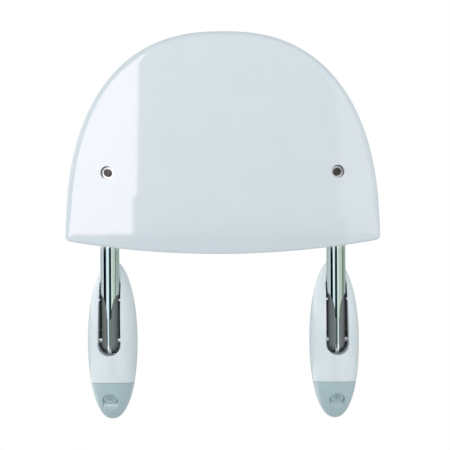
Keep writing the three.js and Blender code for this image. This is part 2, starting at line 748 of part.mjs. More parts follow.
// Half-round cuts for both tubes, and the saddles that grip them.
function withSaddles(tray, outer, near, far) {
  const xs = [-1, 1].map((side) => (side * ARM_SPACING) / 2);
  const saddles = xs.flatMap((x) =>
    SADDLES.map(({ centre, half }) =>
      block(
        [x - SADDLE_HALF_WIDTH, x + SADDLE_HALF_WIDTH],
        [-far, -near],
        [centre - half, centre + half],
      ).intersect(outer),
    ),
  );
  const tubes = xs.map((x) =>
    rod("z", TUBE_RADIUS + GAP, 0, TUBE_TOP + CLEARANCE, 24).translate([x, -HINGE_DEPTH, 0]),
  );
  return tubes.reduce((rest, tube) => rest.subtract(tube), union([tray, ...saddles]));
}

function underShell() {
  const parting = HINGE_DEPTH + GAP / 2;
  const rimDepth = SEAT_FACE - FACE_CROWN;
  const common = { sign: 1, face: rimDepth, rimScale: 1, swell: FACE_CROWN };
  const outer = seatHalf({ ...common, parting, inset: 0 });
  const hollow = seatHalf({ ...common, parting: parting - CLEARANCE, inset: SEAT_WALL });
  const shell = withSaddles(outer.subtract(hollow), outer, parting, SEAT_FACE - SEAT_WALL);
  const recesses = [-1, 1].map((side) =>
    rod("depth", SCREW_RECESS.radius, SCREW_RECESS.floor, FAR, 24)
      .add(rod("depth", SCREW_SHANK + GAP, HINGE_DEPTH, FAR, 16))
      .add(rod("depth", INSERT.flangeRadius + GAP, HINGE_DEPTH, INSERT.flangeHigh + GAP, 16))
      .translate([(side * ARM_SPACING) / 2, 0, SCREW_HEIGHT]),
  );
  return shell.subtract(recesses[0]).subtract(recesses[1]);
}

function topShell() {
  const parting = HINGE_DEPTH - GAP / 2;
  const common = { sign: -1, face: SEAT_SITTING, rimScale: SITTING_RIM_SCALE, swell: -SITTING_DISH };
  const outer = seatHalf({ ...common, parting, inset: 0 });
  const hollow = seatHalf({ ...common, parting: parting + CLEARANCE, inset: SEAT_WALL });
  return withSaddles(outer.subtract(hollow), outer, SEAT_SITTING + SEAT_WALL, parting);
}

// ---- Assembly ----
const seatGroup = new THREE.Group();
seatGroup.add(meshOf("seat_under_shell", underShell(), MATERIALS.white));
seatGroup.add(meshOf("seat_top_shell", topShell(), MATERIALS.white));

const foldUpSeat = new THREE.Group();
foldUpSeat.add(seatGroup);
for (const side of [{ name: "left", sign: -1 }, { name: "right", sign: 1 }]) {
  foldUpSeat.add(makeBracket(side), ...makeArm(side));
}

export default foldUpSeat;
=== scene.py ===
"""Fold-up shower seat: the detailed model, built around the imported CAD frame.

Shapes are made in millimetres in the row frame and turned into metres when they are placed:
X runs along the wall, +Y goes into the wall and +Z is up. Depth means distance out from the
wall, which is -Y. Pieces that exist twice are made around x = 0 and then placed on each side.
"""
import math

import bmesh
import bpy
import numpy as np
from mathutils import Matrix, Vector


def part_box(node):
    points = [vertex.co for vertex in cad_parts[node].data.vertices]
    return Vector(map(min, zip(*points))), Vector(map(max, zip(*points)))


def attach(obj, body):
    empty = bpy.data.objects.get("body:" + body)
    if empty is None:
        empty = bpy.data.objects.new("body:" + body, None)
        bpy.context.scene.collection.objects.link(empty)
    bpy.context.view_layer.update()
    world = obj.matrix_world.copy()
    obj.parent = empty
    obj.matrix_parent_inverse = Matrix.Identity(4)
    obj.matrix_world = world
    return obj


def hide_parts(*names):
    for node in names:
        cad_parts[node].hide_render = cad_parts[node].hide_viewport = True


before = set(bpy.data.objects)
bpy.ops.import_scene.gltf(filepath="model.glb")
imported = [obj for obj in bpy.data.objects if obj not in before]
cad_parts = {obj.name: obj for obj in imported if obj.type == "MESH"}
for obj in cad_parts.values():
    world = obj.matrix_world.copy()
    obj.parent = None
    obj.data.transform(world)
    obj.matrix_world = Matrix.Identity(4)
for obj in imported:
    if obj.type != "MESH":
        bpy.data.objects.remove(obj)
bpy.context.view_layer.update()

MM = 0.001
BRACKETS = "wall_brackets"
SEAT = "folding_seat"
SIDES = {"left": -1, "right": 1}


# ---- Sizes from the frame ----
def box_of(node):
    """The lowest and highest corner of a CAD node, in millimetres."""
    low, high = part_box(node)
    return np.array(low) / MM, np.array(high) / MM


tube_low, tube_high = box_of("right_arm_tube")
blade_low, blade_high = box_of("right_hinge_blade")
cover_low, cover_high = box_of("right_upper_cover")
lower_low, lower_high = box_of("right_lower_cover")
cap_low, _ = box_of("right_end_cap")
under_low, under_high = box_of("seat_under_shell")
_, top_high = box_of("seat_top_shell")
head_low, head_high = box_of("right_seat_screw")
_, pin_high = box_of("right_hinge_pin")
stop_low, stop_high = box_of("right_stop_pin")
pad_low, pad_high = box_of("right_rest_pad")

ARM_X = (tube_low[0] + tube_high[0]) / 2
HINGE_DEPTH = -(tube_low[1] + tube_high[1]) / 2
TUBE_RADIUS = (tube_high[0] - tube_low[0]) / 2
TUBE_TOP = tube_high[2]
NIB_TIP = tube_low[2]
BLADE_HALF = (blade_high[0] - blade_low[0]) / 2
SPIGOT_TOP = blade_high[2]
HEEL_TIP = blade_low[2]
BRACKET_HALF_WIDTH = (lower_high[0] - lower_low[0]) / 2
BRACKET_HALF_HEIGHT = (cover_high[2] - cap_low[2]) / 2
BRACKET_CENTRE = (cover_high[2] + cap_low[2]) / 2
BRACKET_DEPTH = -lower_low[1]
COVER_BACK = -lower_high[1]
COVER_SEAM = (cover_low[2] + lower_high[2]) / 2
SEAT_HALF_WIDTH = under_high[0]
SEAT_FRONT = under_high[2]
REAR_LOW = under_low[2]
SEAT_FACE = -under_low[1]
SEAT_SITTING = -top_high[1]
SCREW_HEIGHT = (head_low[2] + head_high[2]) / 2
PAD_HEIGHT = (pad_low[2] + pad_high[2]) / 2
STOP_HEIGHT = (stop_low[2] + stop_high[2]) / 2
STOP_DEPTH = -(stop_low[1] + stop_high[1]) / 2
STOP_RADIUS = (stop_high[2] - stop_low[2]) / 2
AXIS_PLACE = (0, -HINGE_DEPTH, 0)

# ---- Driving dimensions, in millimetres ----
GAP = 0.3
CLOSE_GAP = 0.05  # a joint so tight that it hardly shows
FAR = 500  # longer than anything it cuts
EVERYWHERE = (-FAR, FAR)
CLEARANCE = 5  # that cuts run past the parting plane and the tubes' ends
SAME_POINT = 1e-4  # points closer than this are one point
NO_LENGTH = 1e-5
SHARP_EDGE = math.radians(35)  # edges that turn further than this are drawn sharp
BEVELLED_EDGE = math.radians(40)  # and further than this are rounded by a bevel
CURVE_STEPS = 48  # segments in a half circle
ROUND_SEGMENTS = 96
FINE_SEGMENTS = 128

TUBE_WALL = 2
TUBE_SCREW_HOLE = 4.5
TUBE_PLUG_REACH = 8  # into the tube
TUBE_PLUG_RIM = 2  # past the tube's end
TUBE_PLUG_CROWN = 3
NIB_LENGTH = 32
STRIP_ROUNDING = 1.0
BLADE_WAIST = 11
BLADE_BACK_LOW = -2
BLADE_BACK_HIGH = 12
HEEL_HALF = 8
HEEL_TOP = -9
HEEL_NOSE = -15.5  # height of the heel's front corner
HEEL_STRIKER = -16.6  # lower end of the flat that meets the stop pin
CHEEK_RADIUS = 11.3
CHEEK_CENTRE = -4
PIN_RADIUS = 4
PIN_HEAD_RADIUS = 5.8
PIN_HEAD_THICKNESS = 1.2
PIN_EDGE = 0.4
PIN_GROOVE = (20.5, 21.9)  # from, to
PIN_GROOVE_RADIUS = 3.1
PIN_END_EDGE = 0.3
RING_INNER = 3.4
RING_OUTER = 5.8
RING_FACES = (20.8, 21.6)
RING_MOUTH_HALF = 2.4

DOME_POWER = 2.5
UPPER_POWER = 2
LOWER_POWER = 2.2
DOME_RINGS = 44
DOME_COLUMNS = 176
COVER_SKIN = 2.5
HOLLOW_BACK = -2  # the hollow runs this far out of the back
SLOT_RADIUS = 14.9
SLOT_CENTRE = -4.4
SLOT_TOP = 78
SLOT_SHOULDER = (13.9, 74.5)  # half width and height where the slot turns in to the channel
SKIRT_WALL = 1.5
SKIRT_BACK = 20
CHANNEL_RADIUS = 12.9
CHANNEL_OVERLAP = 2  # that the channel starts below the slot's top
NUB_HEIGHT = 54
NUB_RADIUS = 1.3
NUB_GAP = 3 * GAP
NUB_SEGMENTS = 24
SLOT_ROUNDING = 0.9
SEAM_ROUNDING = 0.12

CAP_SIDE = -62  # height of the end cap's parting plane at the wall
CAP_FRONT = -55  # and at the dome's front
CAP_FRONT_DEPTH = 46.4
CAP_ROLL_WIDTH = 4
CAP_ROLL_DROP = 0.7
POCKET_HALF = 9.9
POCKET_TOP_CENTRE = -79.5
POCKET_FLOOR = 29.5
POCKET_RAMP_TOP = -85  # below this the pocket's floor comes forwards
POCKET_RAMP = math.tan(math.radians(26))
POCKET_RAMP_LENGTH = 125  # well past the dome
POCKET_WALL = 1.6
POCKET_ROUNDING = 0.7
PLUG_DEPTH = 35.4
PLUG_HEIGHT = -77
PLUG_TILT = math.radians(35)
PLUG_RADIUS = 9.3
PLUG_THICKNESS = 4.5
PLUG_LIP = 0.6
PLUG_DISH = 1.6
PLUG_DISH_SET_IN = 2.4 * PLUG_LIP
PLUG_HUB = 2  # flat middle that the ribs run out from
PLUG_RIBS = 20
RIB_HALF_WIDTH = 0.3
RIB_SET_IN = 1
RIB_ROOT = 0.5  # that a rib goes into the dish
RIB_TOP = -0.3
PEG_RADIUS = 3
PEG_LENGTH = 8
PEG_HOLE_DEPTH = 25

PLATE_THICKNESS = 4
PLATE_INSET = 4.5
EAR_INNER = 17.2
EAR_THICKNESS = 3
EAR_OUTER = EAR_INNER + EAR_THICKNESS
EAR_RADIUS = 8
EAR_ROOT_HIGH = 24  # where the ears meet the plate
EAR_ROOT_LOW = -20
EAR_ROOT_DEPTH = 0.5  # that an ear goes into the plate
EAR_TURN = 1.75  # radians either side of the front that an ear's round nose covers
EAR_STEPS = 32
BUSH_RADIUS = 5.7
BUSH_SET_IN = 0.1
STOP_EDGE = 0.4
WALL_SCREW_HEIGHTS = {"top": 40, "middle": -36, "bottom": -66}
WALL_SCREW_RADIUS = 3
WALL_SCREW_HOLE = 3.4
WALL_SCREW_BACK = 0.2
PAN_HEAD_RADIUS = 6
PAN_HEAD_EDGE = 1.2
PAN_HEAD_HEIGHT = 4.2
PAN_HEAD_FULLNESS = 0.6
CROSS_REACH = 3
CROSS_HALF_WIDTH = 0.6
CROSS_FLOOR = 2.2
PAD_RADIUS = 6
PAD_ROUNDING = 2

SEAT_SHOULDER = 132
SEAT_POWER = 2.4
REAR_RADIUS = 1175
FACE_CROWN = 1.2
SITTING_DISH = 2.5
D_RIM = 8
REAR_RIM = 4.5
RIM_CHANGE = 45  # height above the shoulder over which the one becomes the other
THINNEST_RIM = 1
SITTING_RIM_SCALE = 0.8  # the sitting side's rim, against the underside's
CORNER_HEIGHT = 7
CORNER_WIDTH = 6.5
SEAT_WALL = 4
RECESS_RADIUS = 8.5
RECESS_FLOOR = 46.4
RECESS_ROUNDING = 0.7
HEAD_RADIUS = 5
HEAD_TOP = 53.5
HEAD_BOTTOM = 48.2
HEAD_EDGE = 0.6
SHANK_RADIUS = 3
SHANK_END = 35
HEXAGON_RADIUS = 2.9
HEXAGON_DEPTH = 3
HEXAGON_SIDES = 6
WASHER_SET_IN = 0.6
WASHER_THICKNESS = 1.2
INSERT_RADIUS = 4.2
INSERT_BOTTOM = 34
FLANGE_RADIUS = 5.5
FLANGE_HIGH = 45.1
FLANGE_THICKNESS = 0.8
SADDLE_HALF_WIDTH = 17
SADDLES = [(SCREW_HEIGHT, 30), (285, 8)]  # centre and half length of each


# ---- Meshes ----
def cleaned(points, faces):
    """A mesh from points and faces, with doubled points merged and its faces turned outwards."""
    mesh = bpy.data.meshes.new("shape")
    mesh.from_pydata([tuple(point) for point in points], [], faces)
    work = bmesh.new()
    work.from_mesh(mesh)
    bmesh.ops.remove_doubles(work, verts=work.verts, dist=SAME_POINT)
    bmesh.ops.dissolve_degenerate(work, edges=work.edges, dist=NO_LENGTH)
    bmesh.ops.recalc_face_normals(work, faces=work.faces)
    work.to_mesh(mesh)
    work.free()
    return mesh


def loft(rings, closed=False):
    """Skins rings of equal length. A closed loft joins its last ring to its first."""
    count = len(rings[0])
    points = [point for ring in rings for point in ring]
    faces = []
    for low in range(len(rings) if closed else len(rings) - 1):
        high = (low + 1) % len(rings)
        for i in range(count):
            after = (i + 1) % count
            faces.append(
                (low * count + i, low * count + after, high * count + after, high * count + i)
            )
    if not closed:
        faces.append(tuple(range(count)))
        faces.append(tuple(range(len(points) - count, len(points))))
    return cleaned(points, faces)


AXES = {
    "x": lambda radius, along, cos, sin: (along, radius * cos, radius * sin),
    "z": lambda radius, along, cos, sin: (radius * cos, radius * sin, along),
    "depth": lambda radius, along, cos, sin: (radius * cos, -along, radius * sin),
}


def turned(axis, profile, segments=64, closed=False):
    """A profile of (radius, along) pairs turned about the x, z or depth axis."""
    place = AXES[axis]
    angles = [2 * math.pi * i / segments for i in range(segments)]
    rings = [
        [place(radius, along, math.cos(a), math.sin(a)) for a in angles]
        for radius, along in profile
    ]
    return loft(rings, closed)


def rod(axis, radius, low, high, segments=64):
    """A solid cylinder about an axis."""
    return turned(axis, [(radius, low), (radius, high)], segments)


def sleeve(axis, inner, outer, low, high, segments=64):
    """A straight tube about an axis."""
    profile = [(inner, low), (outer, low), (outer, high), (inner, high)]
    return turned(axis, profile, segments, closed=True)


def prism(axis, outline, low, high):
    """An outline in X and Z drawn out along the depth, or one in Y and Z drawn out along X."""
    if axis == "depth":
        rings = [[(x, -along, z) for x, z in outline] for along in (low, high)]
    else:
        rings = [[(along, y, z) for y, z in outline] for along in (low, high)]
    return loft(rings)


def block(x, y, z):
    """A box from three (low, high) pairs."""
    return prism("x", [(y[0], z[0]), (y[1], z[0]), (y[1], z[1]), (y[0], z[1])], x[0], x[1])


def arc(centre, radius, start, end, steps):
    """Points on a circle in the plane, from one angle to another."""
    angles = np.linspace(start, end, steps + 1)
    return [(centre[0] + radius * math.cos(a), centre[1] + radius * math.sin(a)) for a in angles]


def bent(value, power):
    """A cosine or sine, bent to give an outline that is fuller than an ellipse."""
    return math.copysign(abs(value) ** (2 / power), value)


def quarter(points):
    """The cosine and sine of angles from 0 to 90 degrees."""
    return [(math.cos(a), math.sin(a)) for a in np.linspace(0, math.pi / 2, points)]


def quadratic(start, control, end):
    """Points on a quadratic curve, without its start."""
    steps = 10
    shares = [i / steps for i in range(1, steps + 1)]
    return [
        tuple(
            (1 - t) ** 2 * a + 2 * t * (1 - t) * b + t**2 * c
            for a, b, c in zip(start, control, end)
        )
        for t in shares
    ]


def smooth_step(value, low, high):
    """Rises smoothly from 0 at the low value to 1 at the high one."""
    share = min(1, max(0, (value - low) / (high - low)))
    return share * share * (3 - 2 * share)


def moved(mesh, offset):
    copy = mesh.copy()
    copy.transform(Matrix.Translation(offset))
    return copy


def add_object(name, data):
    item = bpy.data.objects.new(name, data)
    bpy.context.scene.collection.objects.link(item)
    return item


def worked(base, *steps):
    """Joins, cuts or crosses a solid with others. A step is an operation and a mesh."""
    host = add_object("host", base)
    used = [host]
    for operation, shape in steps:
        tool = add_object("tool", shape)
        modifier = host.modifiers.new(operation, "BOOLEAN")
        modifier.operation = operation
        modifier.solver = "MANIFOLD"
        modifier.object = tool
        used.append(tool)
    depsgraph = bpy.context.evaluated_depsgraph_get()
    mesh = bpy.data.meshes.new_from_object(host.evaluated_get(depsgraph))
    for item in used:
        bpy.data.objects.remove(item)
    return mesh


JOIN, CUT, CROSS = "UNION", "DIFFERENCE", "INTERSECT"


def bevelled(mesh, width, segments):
    """A copy whose sharp edges are rounded."""
    host = add_object("host", mesh)
    modifier = host.modifiers.new("bevel", "BEVEL")
    modifier.width = width
    modifier.segments = segments
    modifier.limit_method = "ANGLE"
    modifier.angle_limit = BEVELLED_EDGE
    depsgraph = bpy.context.evaluated_depsgraph_get()
    rounded = bpy.data.meshes.new_from_object(host.evaluated_get(depsgraph))
    bpy.data.objects.remove(host)
    return rounded


def place(mesh, material_name, body, node):
    """Puts a finished shape into the scene, in metres, in the place of its CAD node."""
    name = node + "_fine"
    material, slot = MATERIALS[material_name]
    mesh.name = name
    mesh.transform(Matrix.Scale(MM, 4))
    mesh.materials.clear()
    mesh.materials.append(material)
    mesh.polygons.foreach_set("use_smooth", [True] * len(mesh.polygons))
    mesh.set_sharp_from_angle(angle=SHARP_EDGE)
    piece = add_object(name, mesh)
    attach(piece, body)
    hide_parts(node)


# ---- Bracket ----
def oval_share(x, z):
    """How far out a point is on the bracket's oval: 0 in the middle and 1 on the outline."""
    height = (z - BRACKET_CENTRE) / BRACKET_HALF_HEIGHT
    power = UPPER_POWER if height >= 0 else LOWER_POWER
    return (abs(x / BRACKET_HALF_WIDTH) ** power + abs(height) ** power) ** (1 / power)


def dome_depth(x, z):
    """Depth of the housing's outer skin."""
    share = min(1, oval_share(x, z))
    height = BRACKET_DEPTH - COVER_BACK
    return COVER_BACK + height * (1 - share**DOME_POWER) ** (1 / DOME_POWER)


def dome_normal(x, z):
    step = 0.01
    slope_x = (dome_depth(x + step, z) - dome_depth(x - step, z)) / (2 * step)
    slope_z = (dome_depth(x, z + step) - dome_depth(x, z - step)) / (2 * step)
    return Vector((-slope_x, -1, -slope_z)).normalized()


def dome_height(x, depth):
    """The height at which the dome's upper half comes down to a depth."""
    level = (depth - COVER_BACK) / (BRACKET_DEPTH - COVER_BACK)
    share = (1 - level**DOME_POWER) ** (1 / DOME_POWER)
    rest = share**UPPER_POWER - abs(x / BRACKET_HALF_WIDTH) ** UPPER_POWER
    return BRACKET_CENTRE + BRACKET_HALF_HEIGHT * rest ** (1 / UPPER_POWER)


def oval_point(angle, inset):
    """A point on the bracket's oval or inside it, from its centre."""
    power = UPPER_POWER if math.sin(angle) >= 0 else LOWER_POWER
    return (
        (BRACKET_HALF_WIDTH - inset) * bent(math.cos(angle), power),
        (BRACKET_HALF_HEIGHT - inset) * bent(math.sin(angle), power),
    )


def dome(inset=0, back=0):
    """The housing's domed form, or with an inset the hollow in it, which opens the back."""
    height = BRACKET_DEPTH - COVER_BACK - inset
    edge = [
        oval_point(2 * math.pi * i / DOME_COLUMNS, inset) for i in range(DOME_COLUMNS)
    ]
    levels = [(1, back)] if back < 0 else []
    for ring in range(DOME_RINGS + 1):
        angle = ring / DOME_RINGS * math.pi / 2
        share = 0 if ring == DOME_RINGS else math.cos(angle) ** (2 / DOME_POWER)
        levels.append((share, height * math.sin(angle) ** (2 / DOME_POWER)))
    return loft([
        [(x * share, -COVER_BACK - depth, BRACKET_CENTRE + z * share) for x, z in edge]
        for share, depth in levels
    ])


def slot_outline(grow):
    """The slot seen from the front: a round lower end and sides that lean in towards the top."""
    half = CHANNEL_RADIUS + grow
    shoulder, height = SLOT_SHOULDER[0] + grow, SLOT_SHOULDER[1]
    lower = arc((0, SLOT_CENTRE), SLOT_RADIUS + grow, math.pi, 2 * math.pi, CURVE_STEPS)
    top = SLOT_TOP + grow
    return [(shoulder, height), (half, top), (-half, top), (-shoulder, height), *lower]


def cap_height(depth, shift):
    """Height of the end cap's parting plane, which rises towards the front."""
    return CAP_SIDE + shift + (CAP_FRONT - CAP_SIDE) / CAP_FRONT_DEPTH * depth


def cap_space(shift):
    """Everything below the end cap's parting plane."""
    corners = [
        (FAR, cap_height(-FAR, shift)),
        (-FAR, cap_height(FAR, shift)),
        (-FAR, -FAR),
        (FAR, -FAR),
    ]
    return prism("x", corners, -FAR, FAR)


def rim_rounder(rim, full_radius, closed, floor=lambda height: 0):
    """A tool that rounds the dome's edge. The rim lists x, z and the normal into the opening.

    Where the dome comes down to the opening's floor, the rounding dies away.
    """
    steps = 6
    spare = 0.4  # that the tool stands off the skin and out in the opening
    fade = 6 * full_radius
    thinnest = full_radius / 30
    rings = []
    for x, z, inward in rim:
        radius = full_radius * smooth_step(dome_depth(x, z) - floor(z), 0, fade)
        radius = float(max(radius, thinnest))
        corner = Vector((x, -dome_depth(x, z), z))
        outward = dome_normal(x, z)
        centre = corner - (outward + inward) * radius / (1 + outward.dot(inward))
        ring = [
            centre + radius * outward.slerp(inward, step / steps) for step in range(steps + 1)
        ]
        ring.append(centre + (radius + spare) * inward)
        ring.append(corner + (outward + inward).normalized() * (radius + spare))
        ring.append(centre + (radius + spare) * outward)
        rings.append(ring)
    return loft(rings, closed)


def slot_rim():
    """The slot's edge on the dome, and above it the edge of the channel behind the tube."""
    rim = []
    for x, z in arc((0, SLOT_CENTRE), SLOT_RADIUS, math.pi, 2 * math.pi, CURVE_STEPS):
        rim.append((x, z, Vector((-x, 0, SLOT_CENTRE - z)).normalized()))
    side_steps, shoulder_steps = 40, 6
    stretches = [
        ((SLOT_RADIUS, SLOT_CENTRE), SLOT_SHOULDER, side_steps),
        (SLOT_SHOULDER, (CHANNEL_RADIUS, SLOT_TOP), shoulder_steps),
    ]
    side = []
    for (x0, z0), (x1, z1), steps in stretches:
        lean = Vector((z0 - z1, 0, x1 - x0)).normalized()
        shares = [i / steps for i in range(1, steps)]
        side += [(x0 + (x1 - x0) * t, z0 + (z1 - z0) * t, lean) for t in shares]
    rim += side
    widest = channel_angle(SLOT_TOP)
    for i in range(CURVE_STEPS + 1):
        angle = widest * (1 - 2 * i / CURVE_STEPS)
        x, z = channel_point(angle)
        rim.append((x, z, Vector((-math.sin(angle), -math.cos(angle), 0))))
    rim += [(-x, z, Vector((-lean.x, 0, lean.z))) for x, z, lean in reversed(side)]
    return rim


def channel_point(angle):
    """Where the channel's wall meets the dome, by angle around the tube from straight behind."""
    x = CHANNEL_RADIUS * math.sin(angle)
    depth = HINGE_DEPTH - CHANNEL_RADIUS * math.cos(angle)
    return x, dome_height(x, depth)


def channel_angle(height):
    """The angle at which the channel's edge comes down to a height, by halving."""
    past_the_side = 110
    halvings = 40
    low, high = 0, math.radians(past_the_side)
    for _ in range(halvings):
        middle = (low + high) / 2
        if channel_point(middle)[1] > height:
            low = middle
        else:
            high = middle
    return low


def floor_depth(height):
    """How deep the pocket's floor is: flat behind the plug and a ramp below it."""
    return POCKET_FLOOR + POCKET_RAMP * max(0, POCKET_RAMP_TOP - height)


def pocket_rim():
    """The edge of the end cap's pocket, from the lower left over the top to the lower right."""
    search_step = 0.05
    side_steps, arc_steps = 14, 40
    lowest = POCKET_TOP_CENTRE
    while dome_depth(POCKET_HALF, lowest) > floor_depth(lowest):
        lowest -= search_step
    left = [
        (-POCKET_HALF, lowest + (POCKET_TOP_CENTRE - lowest) * i / side_steps)
        for i in range(side_steps)
    ]
    rim = [(x, z, Vector((1, 0, 0))) for x, z in left]
    for x, z in arc((0, POCKET_TOP_CENTRE), POCKET_HALF, math.pi, 0, arc_steps):
        rim.append((x, z, Vector((-x, 0, POCKET_TOP_CENTRE - z)).normalized()))
    rim += [(-x, z, Vector((-1, 0, 0))) for x, z in reversed(left)]
    return rim


def roll_over(mesh, below, width, drop, point, normal=Vector((0, 0, 1))):
    """Rolls the outer skin over towards a cut. The plane is given by a point and its normal."""
    steps = 5
    crowding = 1.5  # brings the cuts closer together near the plane
    skin_depth = 0.15  # points within this of the dome belong to the outer skin
    steepest = 0.98
    sign = -1 if below else 1
    work = bmesh.new()
    work.from_mesh(mesh)
    for step in range(1, steps + 1):
        away = width * (step / steps) ** crowding
        bmesh.ops.bisect_plane(
            work,
            geom=[*work.verts, *work.edges, *work.faces],
            plane_co=point + sign * away * normal,
            plane_no=normal,
            dist=SAME_POINT,
        )
    for vertex in work.verts:
        away = sign * (vertex.co - point).dot(normal)
        on_skin = abs(-vertex.co.y - dome_depth(vertex.co.x, vertex.co.z)) < skin_depth
        if away < width and on_skin:
            share = 1 - max(0, away) / width
            fall = drop * (1 - math.sqrt(1 - min(1, share) ** 2 * steepest))
            vertex.co -= fall * dome_normal(vertex.co.x, vertex.co.z)
    work.to_mesh(mesh)
    work.free()


def whole_cover():
    """The covers as one piece, before they are parted."""
    outer = dome()
    hollow = dome(COVER_SKIN, HOLLOW_BACK)
    skirt = worked(prism("depth", slot_outline(SKIRT_WALL), SKIRT_BACK, FAR), (CROSS, outer))
    channel_from = SLOT_TOP - CHANNEL_OVERLAP
    channel_wall = rod("z", CHANNEL_RADIUS + SKIRT_WALL, channel_from, FAR, ROUND_SEGMENTS)
    channel_skin = worked(moved(channel_wall, AXIS_PLACE), (CROSS, outer))
    nub_rod = rod("depth", NUB_RADIUS, HINGE_DEPTH, FAR, NUB_SEGMENTS)
    nub_x = CHEEK_RADIUS + NUB_GAP + NUB_RADIUS
    nubs = [
        worked(moved(nub_rod, (side * nub_x, 0, NUB_HEIGHT)), (CROSS, outer))
        for side in SIDES.values()
    ]
    slot = prism("depth", slot_outline(0), PLATE_THICKNESS, FAR)
    channel = moved(rod("z", CHANNEL_RADIUS, channel_from, FAR, ROUND_SEGMENTS), AXIS_PLACE)
    notch = PIN_RADIUS + GAP
    pin_notch = block(
        (-EAR_INNER, EAR_INNER), (-HINGE_DEPTH, -PLATE_THICKNESS), (-notch, notch)
    )
    pin_hole = moved(rod("x", notch, -EAR_INNER, EAR_INNER), AXIS_PLACE)
    return worked(
        outer,
        (CUT, hollow),
        (JOIN, skirt),
        (JOIN, channel_skin),
        (CUT, slot),
        (CUT, channel),
        (CUT, rim_rounder(slot_rim(), SLOT_ROUNDING, closed=True)),
        *[(JOIN, nub) for nub in nubs],
        (CUT, pin_notch),
        (CUT, pin_hole),
    )


def cover_pieces():
    """The upper and the lower cover."""
    whole = whole_cover()
    half_gap = Vector((0, 0, CLOSE_GAP / 2))
    upper = worked(whole, (CROSS, block(EVERYWHERE, EVERYWHERE, (COVER_SEAM + CLOSE_GAP / 2, FAR))))
    lower = worked(
        whole,
        (CROSS, block(EVERYWHERE, EVERYWHERE, (-FAR, COVER_SEAM - CLOSE_GAP / 2))),
        (CUT, cap_space(CLOSE_GAP / 2)),
    )
    seam = Vector((0, 0, COVER_SEAM))
    roll_over(upper, False, SEAM_ROUNDING, SEAM_ROUNDING, seam + half_gap)
    roll_over(lower, True, SEAM_ROUNDING, SEAM_ROUNDING, seam - half_gap)
    slope = (CAP_FRONT - CAP_SIDE) / CAP_FRONT_DEPTH
    cap_normal = Vector((0, slope, 1)).normalized()
    cap_point = Vector((0, 0, CAP_SIDE)) + half_gap
    roll_over(lower, False, CAP_ROLL_WIDTH, CAP_ROLL_DROP, cap_point, cap_normal)
    return upper, lower


PLUG_FRAME = Matrix.Translation((0, -PLUG_DEPTH, PLUG_HEIGHT)) @ Matrix.Rotation(
    math.pi / 2 + PLUG_TILT, 4, "X"
)


def in_plug_frame(mesh):
    """Moves a shape made around the z axis to the release plug's place and tilt."""
    mesh.transform(PLUG_FRAME)
    return mesh


def pocket_outline(grow):
    """The pocket seen from the front: a round top, open at the bottom."""
    half = POCKET_HALF + grow
    top = arc((0, POCKET_TOP_CENTRE), half, 0, math.pi, CURVE_STEPS)
    return [(-half, -FAR), (half, -FAR), *top]


def pocket_space(grow):
    """Everything in front of the pocket's floor and within its outline."""
    ramp_end = POCKET_RAMP_TOP - POCKET_RAMP_LENGTH
    side = [
        (grow - POCKET_FLOOR, 0),
        (grow - POCKET_FLOOR, POCKET_RAMP_TOP),
        (grow - floor_depth(ramp_end), ramp_end),
        (-FAR, ramp_end),
        (-FAR, 0),
    ]
    outline = prism("depth", pocket_outline(grow), 0, FAR)
    return worked(outline, (CROSS, prism("x", side, -POCKET_HALF - FAR, POCKET_HALF + FAR)))


def end_cap():
    """The housing's lower end, with the pocket and the bore that the release plug sits in."""
    outer = worked(dome(), (CROSS, cap_space(-CLOSE_GAP / 2)))
    pocket_walls = worked(pocket_space(POCKET_WALL), (CROSS, outer))
    bore = PLUG_RADIUS + GAP
    deep = PLUG_THICKNESS + GAP
    bore_walls = worked(
        in_plug_frame(rod("z", bore + POCKET_WALL, -deep - POCKET_WALL, 0)), (CROSS, outer)
    )
    return worked(
        outer,
        (CUT, dome(COVER_SKIN, HOLLOW_BACK)),
        (JOIN, pocket_walls),
        (JOIN, bore_walls),
        (CUT, pocket_space(0)),
        (CUT, in_plug_frame(rod("z", bore, -deep, FAR))),
        (CUT, in_plug_frame(rod("z", PEG_RADIUS + GAP, -PEG_HOLE_DEPTH, 0))),
        (CUT, rim_rounder(pocket_rim(), POCKET_ROUNDING, closed=False, floor=floor_depth)),
    )


def cap_plug():
    """A push-in plug with a dished face, radial ribs and a peg behind."""
    peg_end = -PLUG_THICKNESS - PEG_LENGTH
    body = turned("z", [
        (0, peg_end),
        (PEG_RADIUS, peg_end),
        (PEG_RADIUS, -PLUG_THICKNESS),
        (PLUG_RADIUS, -PLUG_THICKNESS),
        (PLUG_RADIUS, -PLUG_LIP),
        (PLUG_RADIUS - PLUG_LIP, 0),
        (PLUG_RADIUS - PLUG_DISH_SET_IN, 0),
        (PLUG_HUB, -PLUG_DISH),
        (0, -PLUG_DISH),
    ])
    steps = []
    for i in range(PLUG_RIBS):
        rib = block(
            (PLUG_HUB, PLUG_RADIUS - RIB_SET_IN),
            (-RIB_HALF_WIDTH, RIB_HALF_WIDTH),
            (-PLUG_DISH - RIB_ROOT, RIB_TOP),
        )
        rib.transform(Matrix.Rotation(2 * math.pi * i / PLUG_RIBS, 4, "Z"))
        steps.append((JOIN, rib))
    return in_plug_frame(worked(body, *steps))


